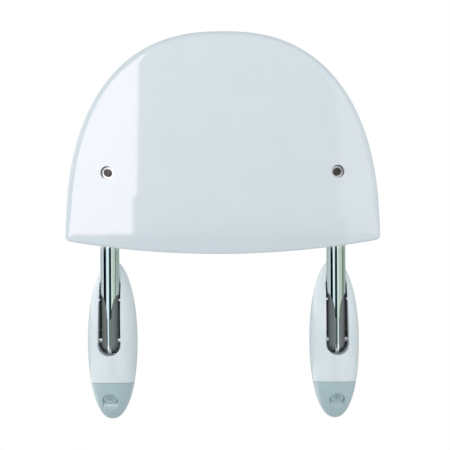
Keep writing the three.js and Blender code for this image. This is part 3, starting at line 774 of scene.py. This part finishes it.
def wall_plate():
    """The pressed steel plate and the two ears that carry the hinge pin."""
    outline = []
    for i in range(ROUND_SEGMENTS):
        x, z = oval_point(2 * math.pi * i / ROUND_SEGMENTS, PLATE_INSET)
        outline.append((x, z + BRACKET_CENTRE))
    foot = -PLATE_THICKNESS + EAR_ROOT_DEPTH
    ear = [
        (foot, EAR_ROOT_HIGH),
        *arc((-HINGE_DEPTH, 0), EAR_RADIUS, EAR_TURN, 2 * math.pi - EAR_TURN, EAR_STEPS),
        (foot, EAR_ROOT_LOW),
    ]
    plate = prism("depth", outline, 0, PLATE_THICKNESS)
    stop = (0, -STOP_DEPTH, STOP_HEIGHT)
    steps = [
        (JOIN, prism("x", ear, -EAR_OUTER, -EAR_INNER)),
        (JOIN, prism("x", ear, EAR_INNER, EAR_OUTER)),
        (CUT, moved(rod("x", BUSH_RADIUS + GAP, -FAR, FAR), AXIS_PLACE)),
        (CUT, moved(rod("x", STOP_RADIUS + GAP, -FAR, FAR), stop)),
    ]
    for height in WALL_SCREW_HEIGHTS.values():
        hole = rod("depth", WALL_SCREW_HOLE, -FAR, FAR)
        steps.append((CUT, moved(hole, (0, 0, height))))
    return worked(plate, *steps)


def hinge_pin():
    """A headed pin with a groove for its retaining ring."""
    head = EAR_OUTER + GAP
    head_end = head + PIN_HEAD_THICKNESS
    groove_low, groove_high = PIN_GROOVE
    end = pin_high[0] - ARM_X
    end_radius = PIN_RADIUS - PIN_EDGE
    return turned("x", [
        (0, -head_end),
        (PIN_HEAD_RADIUS - PIN_EDGE, -head_end),
        (PIN_HEAD_RADIUS, -head_end + PIN_EDGE),
        (PIN_HEAD_RADIUS, -head),
        (PIN_RADIUS, -head),
        (PIN_RADIUS, groove_low),
        (PIN_GROOVE_RADIUS, groove_low),
        (PIN_GROOVE_RADIUS, groove_high),
        (end_radius, groove_high),
        (end_radius, end - PIN_END_EDGE),
        (end_radius - PIN_END_EDGE, end),
        (0, end),
    ])


def retaining_ring():
    """A ring with an open mouth, pushed on to the pin from above."""
    mouth = block((0, FAR), (-RING_MOUTH_HALF, RING_MOUTH_HALF), (-FAR, 0))
    return worked(sleeve("x", RING_INNER, RING_OUTER, *RING_FACES), (CUT, mouth))


def bush():
    low, high = EAR_INNER + BUSH_SET_IN, EAR_OUTER - BUSH_SET_IN
    return sleeve("x", PIN_RADIUS + GAP, BUSH_RADIUS, low, high)


def stop_pin():
    half = (stop_high[0] - stop_low[0]) / 2
    return turned("x", [
        (0, -half),
        (STOP_RADIUS - STOP_EDGE, -half),
        (STOP_RADIUS, -half + STOP_EDGE),
        (STOP_RADIUS, half - STOP_EDGE),
        (STOP_RADIUS - STOP_EDGE, half),
        (0, half),
    ])


def rest_pad():
    """The round-nosed rubber block that the folded arm lies against."""
    tip = -pad_low[1]
    foot = PLATE_THICKNESS + GAP
    nose = [
        (PAD_RADIUS * cos, tip - PAD_ROUNDING + PAD_ROUNDING * sin) for cos, sin in quarter(8)
    ]
    return turned("depth", [(0, foot), (PAD_RADIUS, foot), *nose])


def wall_screw():
    """A pan-head screw into the wall, with a cross recess."""
    seat = PLATE_THICKNESS + GAP
    edge = seat + PAN_HEAD_EDGE
    rise = PAN_HEAD_HEIGHT - PAN_HEAD_EDGE
    crown = [
        (PAN_HEAD_RADIUS * cos**PAN_HEAD_FULLNESS, edge + rise * sin) for cos, sin in quarter(9)
    ]
    body = turned("depth", [
        (0, WALL_SCREW_BACK),
        (WALL_SCREW_RADIUS, WALL_SCREW_BACK),
        (WALL_SCREW_RADIUS, seat),
        (PAN_HEAD_RADIUS, seat),
        *crown,
    ])
    reach = (-CROSS_REACH, CROSS_REACH)
    deep = (-seat - FAR, -seat - CROSS_FLOOR)
    width = (-CROSS_HALF_WIDTH, CROSS_HALF_WIDTH)
    return worked(body, (CUT, block(reach, deep, width)), (CUT, block(width, deep, reach)))


# ---- Arm ----
def nib_outline(grow):
    """The tube seen from the front: quarter-ellipse cuts that leave a strip at its tip."""
    beside = 1  # that the outline stays clear of the tube's sides
    steps = 32
    half = TUBE_RADIUS + beside
    curve = TUBE_RADIUS - BLADE_HALF - grow
    tip = NIB_TIP - grow
    left = [
        (-TUBE_RADIUS + curve * math.cos(a), tip + NIB_LENGTH * math.sin(a))
        for a in np.linspace(math.pi / 2, 0, steps + 1)
    ]
    right = [(-x, z) for x, z in reversed(left)]
    top = tip + NIB_LENGTH
    return [(half, FAR), (-half, FAR), (-half, top), *left, *right, (half, top)]


def arm_tube():
    """The tube, with its lower end cut to a pen nib and a hole for the threaded insert."""
    bore = TUBE_RADIUS - TUBE_WALL
    hole = moved(rod("depth", TUBE_SCREW_HOLE, 0, FAR), (0, 0, SCREW_HEIGHT))
    return worked(
        sleeve("z", bore, TUBE_RADIUS, NIB_TIP, TUBE_TOP, FINE_SEGMENTS),
        (CROSS, prism("depth", nib_outline(0), -FAR, FAR)),
        (CUT, hole),
    )


def hinge_blade():
    """A flat plate whose tongue is inside the tube. Its heel meets the stop pin."""
    tongue = TUBE_RADIUS - TUBE_WALL - 2 * GAP
    shoulder = NIB_TIP - CLOSE_GAP
    edge = TUBE_RADIUS - CLOSE_GAP
    front = (-BLADE_WAIST - 2 * GAP, HEEL_TOP)
    nose = (-HEEL_HALF, HEEL_NOSE)
    outline = [
        (edge, FAR),
        (-edge, FAR),
        (-edge, shoulder),
        *quadratic((-edge, shoulder), (-edge, shoulder / 2), front),
        *quadratic(front, (-BLADE_WAIST, HEEL_NOSE), nose),
        *quadratic(nose, (-HEEL_HALF / 2, HEEL_TIP), (0, HEEL_TIP)),
        *quadratic((0, HEEL_TIP), (HEEL_HALF / 2, HEEL_TIP), (HEEL_HALF, HEEL_STRIKER)),
        (HEEL_HALF, HEEL_TOP),
        (BLADE_WAIST, BLADE_BACK_LOW),
        (BLADE_WAIST, BLADE_BACK_HIGH),
        (edge, shoulder),
    ]
    blade = prism("x", outline, -BLADE_HALF, BLADE_HALF)
    blade = bevelled(blade, STRIP_ROUNDING, segments=5)
    above = block(EVERYWHERE, EVERYWHERE, (shoulder, FAR))
    inside = block(EVERYWHERE, (-tongue, tongue), (0, SPIGOT_TOP))
    return worked(
        blade,
        (CUT, worked(above, (CUT, inside))),
        (CUT, rod("x", PIN_RADIUS + GAP, -FAR, FAR)),
    )


def cheek(side):
    """A half-round moulding that fills one side of the nib's cut and runs up in the tube."""
    ball = [
        (CHEEK_RADIUS * sin, CHEEK_CENTRE - CHEEK_RADIUS * cos) for cos, sin in quarter(20)
    ]
    profile = [*ball, (CHEEK_RADIUS, SPIGOT_TOP), (0, SPIGOT_TOP)]
    bore = rod("z", TUBE_RADIUS - TUBE_WALL - GAP, -FAR, FAR, FINE_SEGMENTS)
    tube_space = worked(prism("depth", nib_outline(GAP), -FAR, FAR), (CUT, bore))
    near = BLADE_HALF + GAP
    sides = (near, FAR) if side > 0 else (-FAR, -near)
    return worked(
        turned("z", profile, FINE_SEGMENTS),
        (CROSS, block(sides, EVERYWHERE, EVERYWHERE)),
        (CUT, tube_space),
        (CUT, rod("x", PIN_RADIUS + GAP, -FAR, FAR)),
    )


def tube_plug():
    spigot = TUBE_RADIUS - TUBE_WALL - GAP
    return turned("z", [
        (0, TUBE_TOP - TUBE_PLUG_REACH),
        (spigot, TUBE_TOP - TUBE_PLUG_REACH),
        (spigot, TUBE_TOP + GAP),
        (TUBE_RADIUS, TUBE_TOP + GAP),
        (TUBE_RADIUS, TUBE_TOP + TUBE_PLUG_RIM),
        (0, TUBE_TOP + TUBE_PLUG_CROWN),
    ])


def threaded_insert():
    inner = SHANK_RADIUS + GAP
    flange_low = FLANGE_HIGH - FLANGE_THICKNESS
    profile = [
        (inner, INSERT_BOTTOM),
        (INSERT_RADIUS, INSERT_BOTTOM),
        (INSERT_RADIUS, flange_low),
        (FLANGE_RADIUS, flange_low),
        (FLANGE_RADIUS, FLANGE_HIGH),
        (inner, FLANGE_HIGH),
    ]
    return turned("depth", profile, closed=True)


def seat_screw():
    """A cap screw with a rounded edge and a hexagon socket."""
    rounding = [
        (HEAD_RADIUS - HEAD_EDGE + HEAD_EDGE * cos, HEAD_TOP - HEAD_EDGE + HEAD_EDGE * sin)
        for cos, sin in quarter(6)
    ]
    body = turned("depth", [
        (0, SHANK_END),
        (SHANK_RADIUS, SHANK_END),
        (SHANK_RADIUS, HEAD_BOTTOM),
        (HEAD_RADIUS, HEAD_BOTTOM),
        *rounding,
        (0, HEAD_TOP),
    ])
    socket = rod("depth", HEXAGON_RADIUS, HEAD_TOP - HEXAGON_DEPTH, FAR, HEXAGON_SIDES)
    return worked(body, (CUT, socket))


def seat_washer():
    inner, outer = SHANK_RADIUS + GAP, RECESS_RADIUS - WASHER_SET_IN
    low = RECESS_FLOOR + GAP
    return sleeve("depth", inner, outer, low, low + WASHER_THICKNESS)


# ---- Seat ----
def seat_outline():
    """The D outline, anticlockwise from the right-hand corner, seen from the front."""
    height = SEAT_FRONT - SEAT_SHOULDER
    edge_steps, rear_steps = 240, 80

    def rear(x):
        return REAR_LOW + REAR_RADIUS - math.sqrt(REAR_RADIUS**2 - x**2)

    start = math.asin((CORNER_HEIGHT / height) ** (SEAT_POWER / 2))
    edge = []
    for i in range(edge_steps + 1):
        angle = start + i / edge_steps * (math.pi - 2 * start)
        x = SEAT_HALF_WIDTH * bent(math.cos(angle), SEAT_POWER)
        edge.append((x, SEAT_SHOULDER + height * bent(math.sin(angle), SEAT_POWER)))
    rear_half = SEAT_HALF_WIDTH - CORNER_WIDTH
    right = [
        (SEAT_HALF_WIDTH, SEAT_SHOULDER + CORNER_HEIGHT),
        *quadratic(
            (SEAT_HALF_WIDTH, SEAT_SHOULDER + CORNER_HEIGHT),
            (SEAT_HALF_WIDTH, rear(SEAT_HALF_WIDTH)),
            (rear_half, rear(rear_half)),
        ),
    ]
    left = [(-x, z) for x, z in right]
    back = [(x, rear(x)) for x in np.linspace(-rear_half, rear_half, rear_steps + 1)[1:-1]]
    return [*edge, *left[1:], *back, *reversed(right[1:])]


def seat_half(sign, parting, face, rim_scale, swell, inset):
    """Half of the seat, from the parting plane to a face whose rim is rounded all round.

    A positive sign faces the room and a negative one the wall. The swell lifts the middle.
    """
    outline = [Vector(point) for point in seat_outline()]
    count = len(outline)
    inward, rim = [], []
    for i, point in enumerate(outline):
        along = (outline[(i + 1) % count] - outline[i - 1]).normalized()
        inward.append(Vector((-along.y, along.x)))
        share = smooth_step(point.y, SEAT_SHOULDER, SEAT_SHOULDER + RIM_CHANGE)
        width = REAR_RIM + (D_RIM - REAR_RIM) * share
        rim.append(max(THINNEST_RIM, width * rim_scale - inset))

    def ring_at(draw_in, depth):
        ring = []
        for i, point in enumerate(outline):
            inner = point + inward[i] * (inset + draw_in * rim[i])
            ring.append(Vector((inner.x, -depth(i), inner.y)))
        return ring

    rings = [ring_at(0, lambda i: parting)]
    rim_steps = 14
    for step in range(rim_steps + 1):
        angle = step / rim_steps * math.pi / 2
        fall = 1 - math.sin(angle)
        rings.append(
            ring_at(1 - math.cos(angle), lambda i: face - sign * (rim[i] * fall + inset))
        )
    centre = Vector((0, 0, (SEAT_FRONT + REAR_LOW) / 2))
    rim_ring = rings[-1]
    face_steps = 24
    for step in range(1, face_steps + 1):
        share = 1 - step / face_steps
        ring = []
        for point in rim_ring:
            inner = centre + (point - centre) * share
            inner.y = point.y - sign * swell * (1 - share**2)
            ring.append(inner)
        rings.append(ring)
    return loft(rings)


def with_saddles(outer, hollow, near, far):
    """A tray with saddles that grip both tubes and a half-round cut for each."""
    steps = [(CUT, hollow)]
    for side in SIDES.values():
        x = side * ARM_X
        for centre, half in SADDLES:
            saddle = block(
                (x - SADDLE_HALF_WIDTH, x + SADDLE_HALF_WIDTH),
                (-far, -near),
                (centre - half, centre + half),
            )
            steps.append((JOIN, worked(saddle, (CROSS, outer))))
    for side in SIDES.values():
        tube = rod("z", TUBE_RADIUS + GAP, 0, TUBE_TOP + CLEARANCE, ROUND_SEGMENTS)
        steps.append((CUT, moved(tube, (side * ARM_X, -HINGE_DEPTH, 0))))
    return worked(outer, *steps)


def screw_recess():
    """The recess with its rounded mouth, the screw's hole and room for the insert's flange."""
    mouth_depth = SEAT_FACE - RECESS_ROUNDING
    mouth_radius = RECESS_RADIUS + RECESS_ROUNDING
    flare = [
        (mouth_radius - RECESS_ROUNDING * cos, mouth_depth + RECESS_ROUNDING * sin)
        for cos, sin in quarter(7)
    ]
    flange = FLANGE_RADIUS + GAP
    hole = SHANK_RADIUS + GAP
    return turned("depth", [
        (0, HINGE_DEPTH),
        (flange, HINGE_DEPTH),
        (flange, FLANGE_HIGH + GAP),
        (hole, FLANGE_HIGH + GAP),
        (hole, RECESS_FLOOR),
        (RECESS_RADIUS, RECESS_FLOOR),
        *flare,
        (mouth_radius, SEAT_FACE + CLEARANCE),
        (0, SEAT_FACE + CLEARANCE),
    ])


def under_shell():
    """The underside's shell, which faces the room when the seat is folded up."""
    parting = HINGE_DEPTH + GAP / 2
    face = SEAT_FACE - FACE_CROWN
    outer = seat_half(1, parting, face, 1, FACE_CROWN, 0)
    hollow = seat_half(1, parting - CLEARANCE, face, 1, 0, SEAT_WALL)
    shell = with_saddles(outer, hollow, parting, SEAT_FACE - SEAT_WALL)
    recesses = [
        (CUT, moved(screw_recess(), (side * ARM_X, 0, SCREW_HEIGHT))) for side in SIDES.values()
    ]
    return worked(shell, *recesses)


def top_shell():
    """The sitting side's shell, with its shallow dish."""
    parting = HINGE_DEPTH - GAP / 2
    dish = SEAT_SITTING + SITTING_DISH
    outer = seat_half(-1, parting, SEAT_SITTING, SITTING_RIM_SCALE, -SITTING_DISH, 0)
    hollow = seat_half(-1, parting + CLEARANCE, dish, SITTING_RIM_SCALE, 0, SEAT_WALL)
    return with_saddles(outer, hollow, SEAT_SITTING + SEAT_WALL, parting)


# ---- Materials ----
NOISE_LOW, NOISE_HIGH = 0.3, 0.7  # the band of the noise that changes the colour


class Surface:
    """A Principled material whose colour, roughness and relief come from noise."""

    def __init__(self, name, color, roughness, metallic=0.0):
        self.material = bpy.data.materials.new(name)
        self.material.use_nodes = True
        self.nodes = self.material.node_tree.nodes
        self.links = self.material.node_tree.links
        self.shader = self.nodes["Principled BSDF"]
        self.shader.inputs["Base Color"].default_value = (*color, 1)
        self.shader.inputs["Roughness"].default_value = roughness
        self.shader.inputs["Metallic"].default_value = metallic
        self.coordinates = self.nodes.new("ShaderNodeTexCoord")
        self.color = color

    def set(self, socket, value):
        self.shader.inputs[socket].default_value = value

    def noise(self, scale, detail, stretch=(1, 1, 1)):
        """Noise in object space. The scale is in features a metre."""
        mapping = self.nodes.new("ShaderNodeMapping")
        mapping.inputs["Scale"].default_value = stretch
        noise = self.nodes.new("ShaderNodeTexNoise")
        noise.inputs["Scale"].default_value = scale
        noise.inputs["Detail"].default_value = detail
        self.links.new(self.coordinates.outputs["Object"], mapping.inputs["Vector"])
        self.links.new(mapping.outputs["Vector"], noise.inputs["Vector"])
        return noise.outputs["Fac"]

    def vary_color(self, factor, low, high):
        """Shades the base colour between two brightness factors."""
        ramp = self.nodes.new("ShaderNodeValToRGB")
        for element, share in zip(ramp.color_ramp.elements, (low, high)):
            element.color = (*(min(1, share * channel) for channel in self.color), 1)
        ramp.color_ramp.elements[0].position = NOISE_LOW
        ramp.color_ramp.elements[1].position = NOISE_HIGH
        self.links.new(factor, ramp.inputs["Fac"])
        self.links.new(ramp.outputs["Color"], self.shader.inputs["Base Color"])

    def vary_roughness(self, factor, low, high):
        """Spreads the roughness between two values."""
        spread = self.nodes.new("ShaderNodeMapRange")
        spread.inputs["To Min"].default_value = low
        spread.inputs["To Max"].default_value = high
        self.links.new(factor, spread.inputs["Value"])
        self.links.new(spread.outputs["Result"], self.shader.inputs["Roughness"])

    def relief(self, factor, strength, height):
        """Bump whose height is in metres."""
        bump = self.nodes.new("ShaderNodeBump")
        bump.inputs["Strength"].default_value = strength
        bump.inputs["Distance"].default_value = height
        self.links.new(factor, bump.inputs["Height"])
        self.links.new(bump.outputs["Normal"], self.shader.inputs["Normal"])


def moulded(name, color, roughness, grain, depth, ior):
    """Injection-moulded plastic: faint flow marks in the colour and a very fine skin."""
    surface = Surface(name, color, roughness)
    surface.vary_color(surface.noise(scale=18, detail=2), 0.99, 1.01)
    marks = surface.noise(scale=160, detail=4)
    surface.vary_roughness(marks, roughness * 0.85, roughness * 1.15)
    surface.relief(surface.noise(scale=grain, detail=2), strength=0.12, height=depth)
    surface.set("IOR", ior)
    return surface


def metal(name, color, roughness, streaks, depth):
    """Metal with fine marks in its gloss and its surface."""
    surface = Surface(name, color, roughness, metallic=1)
    marks = surface.noise(scale=streaks, detail=4)
    surface.vary_roughness(marks, roughness * 0.7, roughness * 1.3)
    surface.vary_color(surface.noise(scale=60, detail=2), 0.95, 1.05)
    surface.relief(marks, strength=0.1, height=depth)
    return surface.material


def white_plastic():
    color = (0.645, 0.735, 0.785)
    return moulded("white_plastic", color, 0.05, grain=60, depth=0.00001, ior=1.52).material


def cover_plastic_with_painted_light():
    # The seat's white plastic again, with a lighter base colour: painted light that makes up for
    # the covers getting less light than the seat.
    color = (0.75, 0.84, 0.89)
    return moulded("cover_plastic_with_painted_light", color, 0.12, grain=420, depth=0.00002, ior=1.5).material


def grey_plastic():
    color = (0.435, 0.58, 0.62)
    return moulded("grey_plastic", color, 0.2, grain=700, depth=0.00004, ior=1.48).material


def cheek_plastic():
    color = (0.165, 0.187, 0.187)
    return moulded("cheek_plastic", color, 0.12, grain=700, depth=0.00002, ior=1.6).material


def chrome():
    surface = Surface("chrome", (0.86, 0.9, 0.9), 0.03, metallic=1)
    along = (1, 1, 0.1)  # stretches the marks along the tube
    surface.vary_roughness(surface.noise(scale=90, detail=3, stretch=along), 0.02, 0.05)
    surface.vary_color(surface.noise(scale=40, detail=2), 0.98, 1.02)
    return surface.material


def zinc_steel():
    return metal("zinc_steel", (0.55, 0.56, 0.57), 0.34, streaks=400, depth=0.00005)


def dark_steel():
    return metal("dark_steel", (0.06, 0.062, 0.062), 0.35, streaks=900, depth=0.00003)


def brass():
    return metal("brass", (0.5, 0.36, 0.13), 0.32, streaks=600, depth=0.00003)


def rubber():
    surface = Surface("rubber", (0.02, 0.021, 0.022), 0.7)
    surface.vary_color(surface.noise(scale=300, detail=3), 0.8, 1.3)
    surface.relief(surface.noise(scale=1500, detail=4), strength=0.4, height=0.0001)
    return surface.material


def acetal():
    surface = moulded("acetal", (0.75, 0.73, 0.67), 0.45, grain=900, depth=0.00004, ior=1.5)
    surface.set("Subsurface Weight", 0.1)
    return surface.material


# Each material and the record's slot for it.
MATERIALS = {
    "seat": (white_plastic(), "white_plastic"),
    # The covers use a lighter copy of the seat's white plastic, in the same slot: the extra
    # brightness is painted light.
    "cover": (cover_plastic_with_painted_light(), "white_plastic"),
    "grey": (grey_plastic(), "grey_plastic"),
    "cheek": (cheek_plastic(), "cheek_plastic"),
    "chrome": (chrome(), "chrome"),
    "steel": (zinc_steel(), "zinc_steel"),
    "dark": (dark_steel(), "dark_steel"),
    "brass": (brass(), "brass"),
    "rubber": (rubber(), "rubber"),
    "acetal": (acetal(), "acetal"),
}


# ---- Building ----
def bracket_pieces():
    """Everything that stays on the wall, made once and placed on both sides."""
    upper, lower = cover_pieces()
    pieces = {
        "upper_cover": (upper, "cover"),
        "lower_cover": (lower, "cover"),
        "end_cap": (end_cap(), "grey"),
        "cap_plug": (cap_plug(), "grey"),
        "wall_plate": (wall_plate(), "steel"),
        "rest_pad": (moved(rest_pad(), (0, 0, PAD_HEIGHT)), "rubber"),
        "stop_pin": (moved(stop_pin(), (0, -STOP_DEPTH, STOP_HEIGHT)), "steel"),
        "hinge_pin": (moved(hinge_pin(), AXIS_PLACE), "steel"),
        "pin_ring": (moved(retaining_ring(), AXIS_PLACE), "dark"),
        "bush_a": (moved(bush(), (-EAR_INNER - EAR_OUTER, -HINGE_DEPTH, 0)), "acetal"),
        "bush_b": (moved(bush(), AXIS_PLACE), "acetal"),
    }
    for height_name, height in WALL_SCREW_HEIGHTS.items():
        pieces["wall_screw_" + height_name] = (moved(wall_screw(), (0, 0, height)), "steel")
    return pieces


def arm_pieces(side):
    """Everything on one arm. The inner cheek is the one nearer the seat's middle."""
    screw_place = (0, 0, SCREW_HEIGHT)
    return {
        "arm_tube": (moved(arm_tube(), AXIS_PLACE), "chrome"),
        "hinge_blade": (moved(hinge_blade(), AXIS_PLACE), "chrome"),
        "inner_cheek": (moved(cheek(-side), AXIS_PLACE), "cheek"),
        "outer_cheek": (moved(cheek(side), AXIS_PLACE), "cheek"),
        "tube_plug": (moved(tube_plug(), AXIS_PLACE), "rubber"),
        "threaded_insert": (moved(threaded_insert(), screw_place), "brass"),
        "seat_screw": (moved(seat_screw(), screw_place), "dark"),
        "seat_washer": (moved(seat_washer(), screw_place), "steel"),
    }


def place_pieces(pieces, side_name, body):
    for name, (mesh, material) in pieces.items():
        shifted = moved(mesh, (SIDES[side_name] * ARM_X, 0, 0))
        place(shifted, material, body, side_name + "_" + name)


brackets = bracket_pieces()
for side_name, side in SIDES.items():
    place_pieces(brackets, side_name, BRACKETS)
    place_pieces(arm_pieces(side), side_name, SEAT)
place(under_shell(), "seat", SEAT, "seat_under_shell")
place(top_shell(), "seat", SEAT, "seat_top_shell")


# ---- Studio ----
CAMERA_AWAY = 1.21  # metres in front of the wall
CAMERA_HEIGHT = 0.152
CAMERA_SHIFT = 0.003
CAMERA_LENS = 71.0
SENSOR_WIDTH = 36
CAMERA_ROLL = math.radians(0.33)


def make_camera():
    data = bpy.data.cameras.new("camera")
    data.lens = CAMERA_LENS
    data.sensor_width = SENSOR_WIDTH
    camera = add_object("camera", data)
    camera.location = (CAMERA_SHIFT, -CAMERA_AWAY, CAMERA_HEIGHT)
    camera.rotation_euler = (math.pi / 2, CAMERA_ROLL, 0)
    bpy.context.scene.camera = camera


HALF_TURN = 180  # degrees
# What surrounds the object, by compass direction: degrees to the right of the camera as seen
# from it, and the light's colour there.
SURROUNDINGS = [
    (-180, (0.6, 0.64, 0.63)),
    (-150, (1.2, 1.25, 1.21)),
    (-75, (1.2, 1.22, 1.2)),
    (-50, (1.08, 1.06, 1.05)),
    (90, (1.08, 1.06, 1.05)),
    (125, (0.55, 0.58, 0.57)),
    (180, (0.6, 0.63, 0.62)),
]
# The strip of it just below eye level, which is what the chrome arms mirror.
HORIZON = [
    (-180, (0.4, 0.45, 0.45)),
    (-122, (0.42, 0.48, 0.48)),
    (-100, (0.55, 0.64, 0.65)),
    (-86, (0.7, 0.78, 0.8)),
    (-79, (0.7, 0.78, 0.8)),
    (-76, (0.0, 0.004, 0.01)),
    (-42, (0.0, 0.004, 0.01)),
    (-40, (0.6, 0.68, 0.7)),
    (20, (0.75, 0.8, 0.75)),
    (30, (0.52, 0.62, 0.545)),
    (66, (0.52, 0.62, 0.545)),
    (72, (0.2, 0.26, 0.215)),
    (92, (0.2, 0.26, 0.215)),
    (101, (0.29, 0.37, 0.32)),
    (150, (0.42, 0.5, 0.47)),
    (180, (0.4, 0.45, 0.45)),
]
HORIZON_BOTTOM = (-13.0, -11.5)  # degrees of elevation between which it begins
HORIZON_TOP = (-1.5, -1.0)  # and ends
CEILING_FADE = (22, 50)
CEILING = (0.5, 0.53, 0.54)
WHITE = (1.0, 1.0, 1.0)

PANEL_DISTANCE = 1.1
PANEL_LOW = -0.24
SHADE_LOW = -0.75
PANEL_STEP = 0.1  # height at which the arms' panels end and the seat's softbox begins
SEAT_BOX_TOP = 0.68
PANELS = {  # from X, to X, low, high and the light's colour
    "seat_softbox": (-0.47, -0.228, PANEL_STEP, SEAT_BOX_TOP, (6.4, 5.6, 5.7)),
    "fill_softbox": (0.305, 0.6, PANEL_STEP, SEAT_BOX_TOP, (2.1, 1.95, 1.9)),
    "arm_light_left": (-0.95, -0.29, PANEL_LOW, PANEL_STEP, (0.8, 0.95, 1.0)),
    "arm_shade": (-0.29, 0.307, SHADE_LOW, PANEL_STEP, (0.02, 0.045, 0.048)),
    "arm_light_right": (0.307, 0.6, PANEL_LOW, PANEL_STEP, (0.8, 0.88, 0.84)),
}


def flat_piece(name, points):
    """One flat face with a new material, for the studio."""
    mesh = bpy.data.meshes.new(name)
    mesh.from_pydata(points, [], [tuple(range(len(points)))])
    material = bpy.data.materials.new(name)
    material.use_nodes = True
    mesh.materials.append(material)
    return add_object(name, mesh), material


def make_panels():
    """Flat lights and shades beside the camera, which it looks past."""
    for name, (left, right, low, high, color) in PANELS.items():
        corners = [(left, low), (right, low), (right, high), (left, high)]
        panel, material = flat_piece(name, [(x, -PANEL_DISTANCE, z) for x, z in corners])
        nodes = material.node_tree.nodes
        nodes.remove(nodes["Principled BSDF"])
        glow = nodes.new("ShaderNodeEmission")
        glow.inputs["Color"].default_value = (*color, 1)
        material.node_tree.links.new(glow.outputs[0], nodes["Material Output"].inputs["Surface"])
        panel.visible_camera = False


def make_world():
    """A white backdrop for the camera, and the studio's light for everything else."""
    world = bpy.data.worlds.new("studio")
    world.use_nodes = True
    nodes, links = world.node_tree.nodes, world.node_tree.links
    direction = nodes.new("ShaderNodeSeparateXYZ")
    links.new(nodes.new("ShaderNodeTexCoord").outputs["Generated"], direction.inputs[0])

    def set_or_link(socket, value):
        if isinstance(value, bpy.types.NodeSocket):
            links.new(value, socket)
        else:
            socket.default_value = (*value, 1) if isinstance(value, tuple) else value

    def math_node(operation, *values):
        node = nodes.new("ShaderNodeMath")
        node.operation = operation
        for socket, value in zip(node.inputs, values):
            set_or_link(socket, value)
        return node.outputs[0]

    def by_direction(stops):
        ramp = nodes.new("ShaderNodeValToRGB")
        elements = ramp.color_ramp.elements
        while len(elements) < len(stops):
            elements.new(1)
        for element, (degrees, color) in zip(elements, stops):
            element.position = (degrees + HALF_TURN) / (2 * HALF_TURN)
            element.color = (*color, 1)
        links.new(turn, ramp.inputs["Fac"])
        return ramp.outputs["Color"]

    def fade(limits):
        spread = nodes.new("ShaderNodeMapRange")
        spread.interpolation_type = "SMOOTHSTEP"
        spread.inputs["From Min"].default_value = math.radians(limits[0])
        spread.inputs["From Max"].default_value = math.radians(limits[1])
        links.new(rise, spread.inputs["Value"])
        return spread.outputs["Result"]

    def mix(share, first, second):
        node = nodes.new("ShaderNodeMixRGB")
        set_or_link(node.inputs["Fac"], share)
        set_or_link(node.inputs["Color1"], first)
        set_or_link(node.inputs["Color2"], second)
        return node.outputs["Color"]

    back = math_node("MULTIPLY", direction.outputs["Y"], -1.0)
    angle = math_node("ARCTAN2", direction.outputs["X"], back)
    turn = math_node("ADD", math_node("DIVIDE", angle, 2 * math.pi), 0.5)
    rise = math_node("ARCSINE", direction.outputs["Z"])
    in_horizon = math_node("SUBTRACT", fade(HORIZON_BOTTOM), fade(HORIZON_TOP))
    walls = mix(in_horizon, by_direction(SURROUNDINGS), by_direction(HORIZON))
    studio = mix(fade(CEILING_FADE), walls, CEILING)
    seen = nodes.new("ShaderNodeLightPath").outputs["Is Camera Ray"]
    links.new(mix(seen, studio, WHITE), nodes["Background"].inputs["Color"])
    bpy.context.scene.world = world


FLOOR_RADIUS = 0.85
FLOOR_HEIGHT = -0.47
FLOOR_COLOR = (0.86, 0.87, 0.87)
FLOOR_ROUGHNESS = 0.8


def make_floor():
    angles = np.linspace(0, 2 * math.pi, ROUND_SEGMENTS, endpoint=False)
    floor, material = flat_piece("floor", [
        (FLOOR_RADIUS * math.cos(a), FLOOR_RADIUS * math.sin(a), FLOOR_HEIGHT) for a in angles
    ])
    shader = material.node_tree.nodes["Principled BSDF"]
    shader.inputs["Base Color"].default_value = (*FLOOR_COLOR, 1)
    shader.inputs["Roughness"].default_value = FLOOR_ROUGHNESS


make_camera()
make_panels()
make_world()
make_floor()
bpy.context.scene.view_settings.view_transform = "Standard"
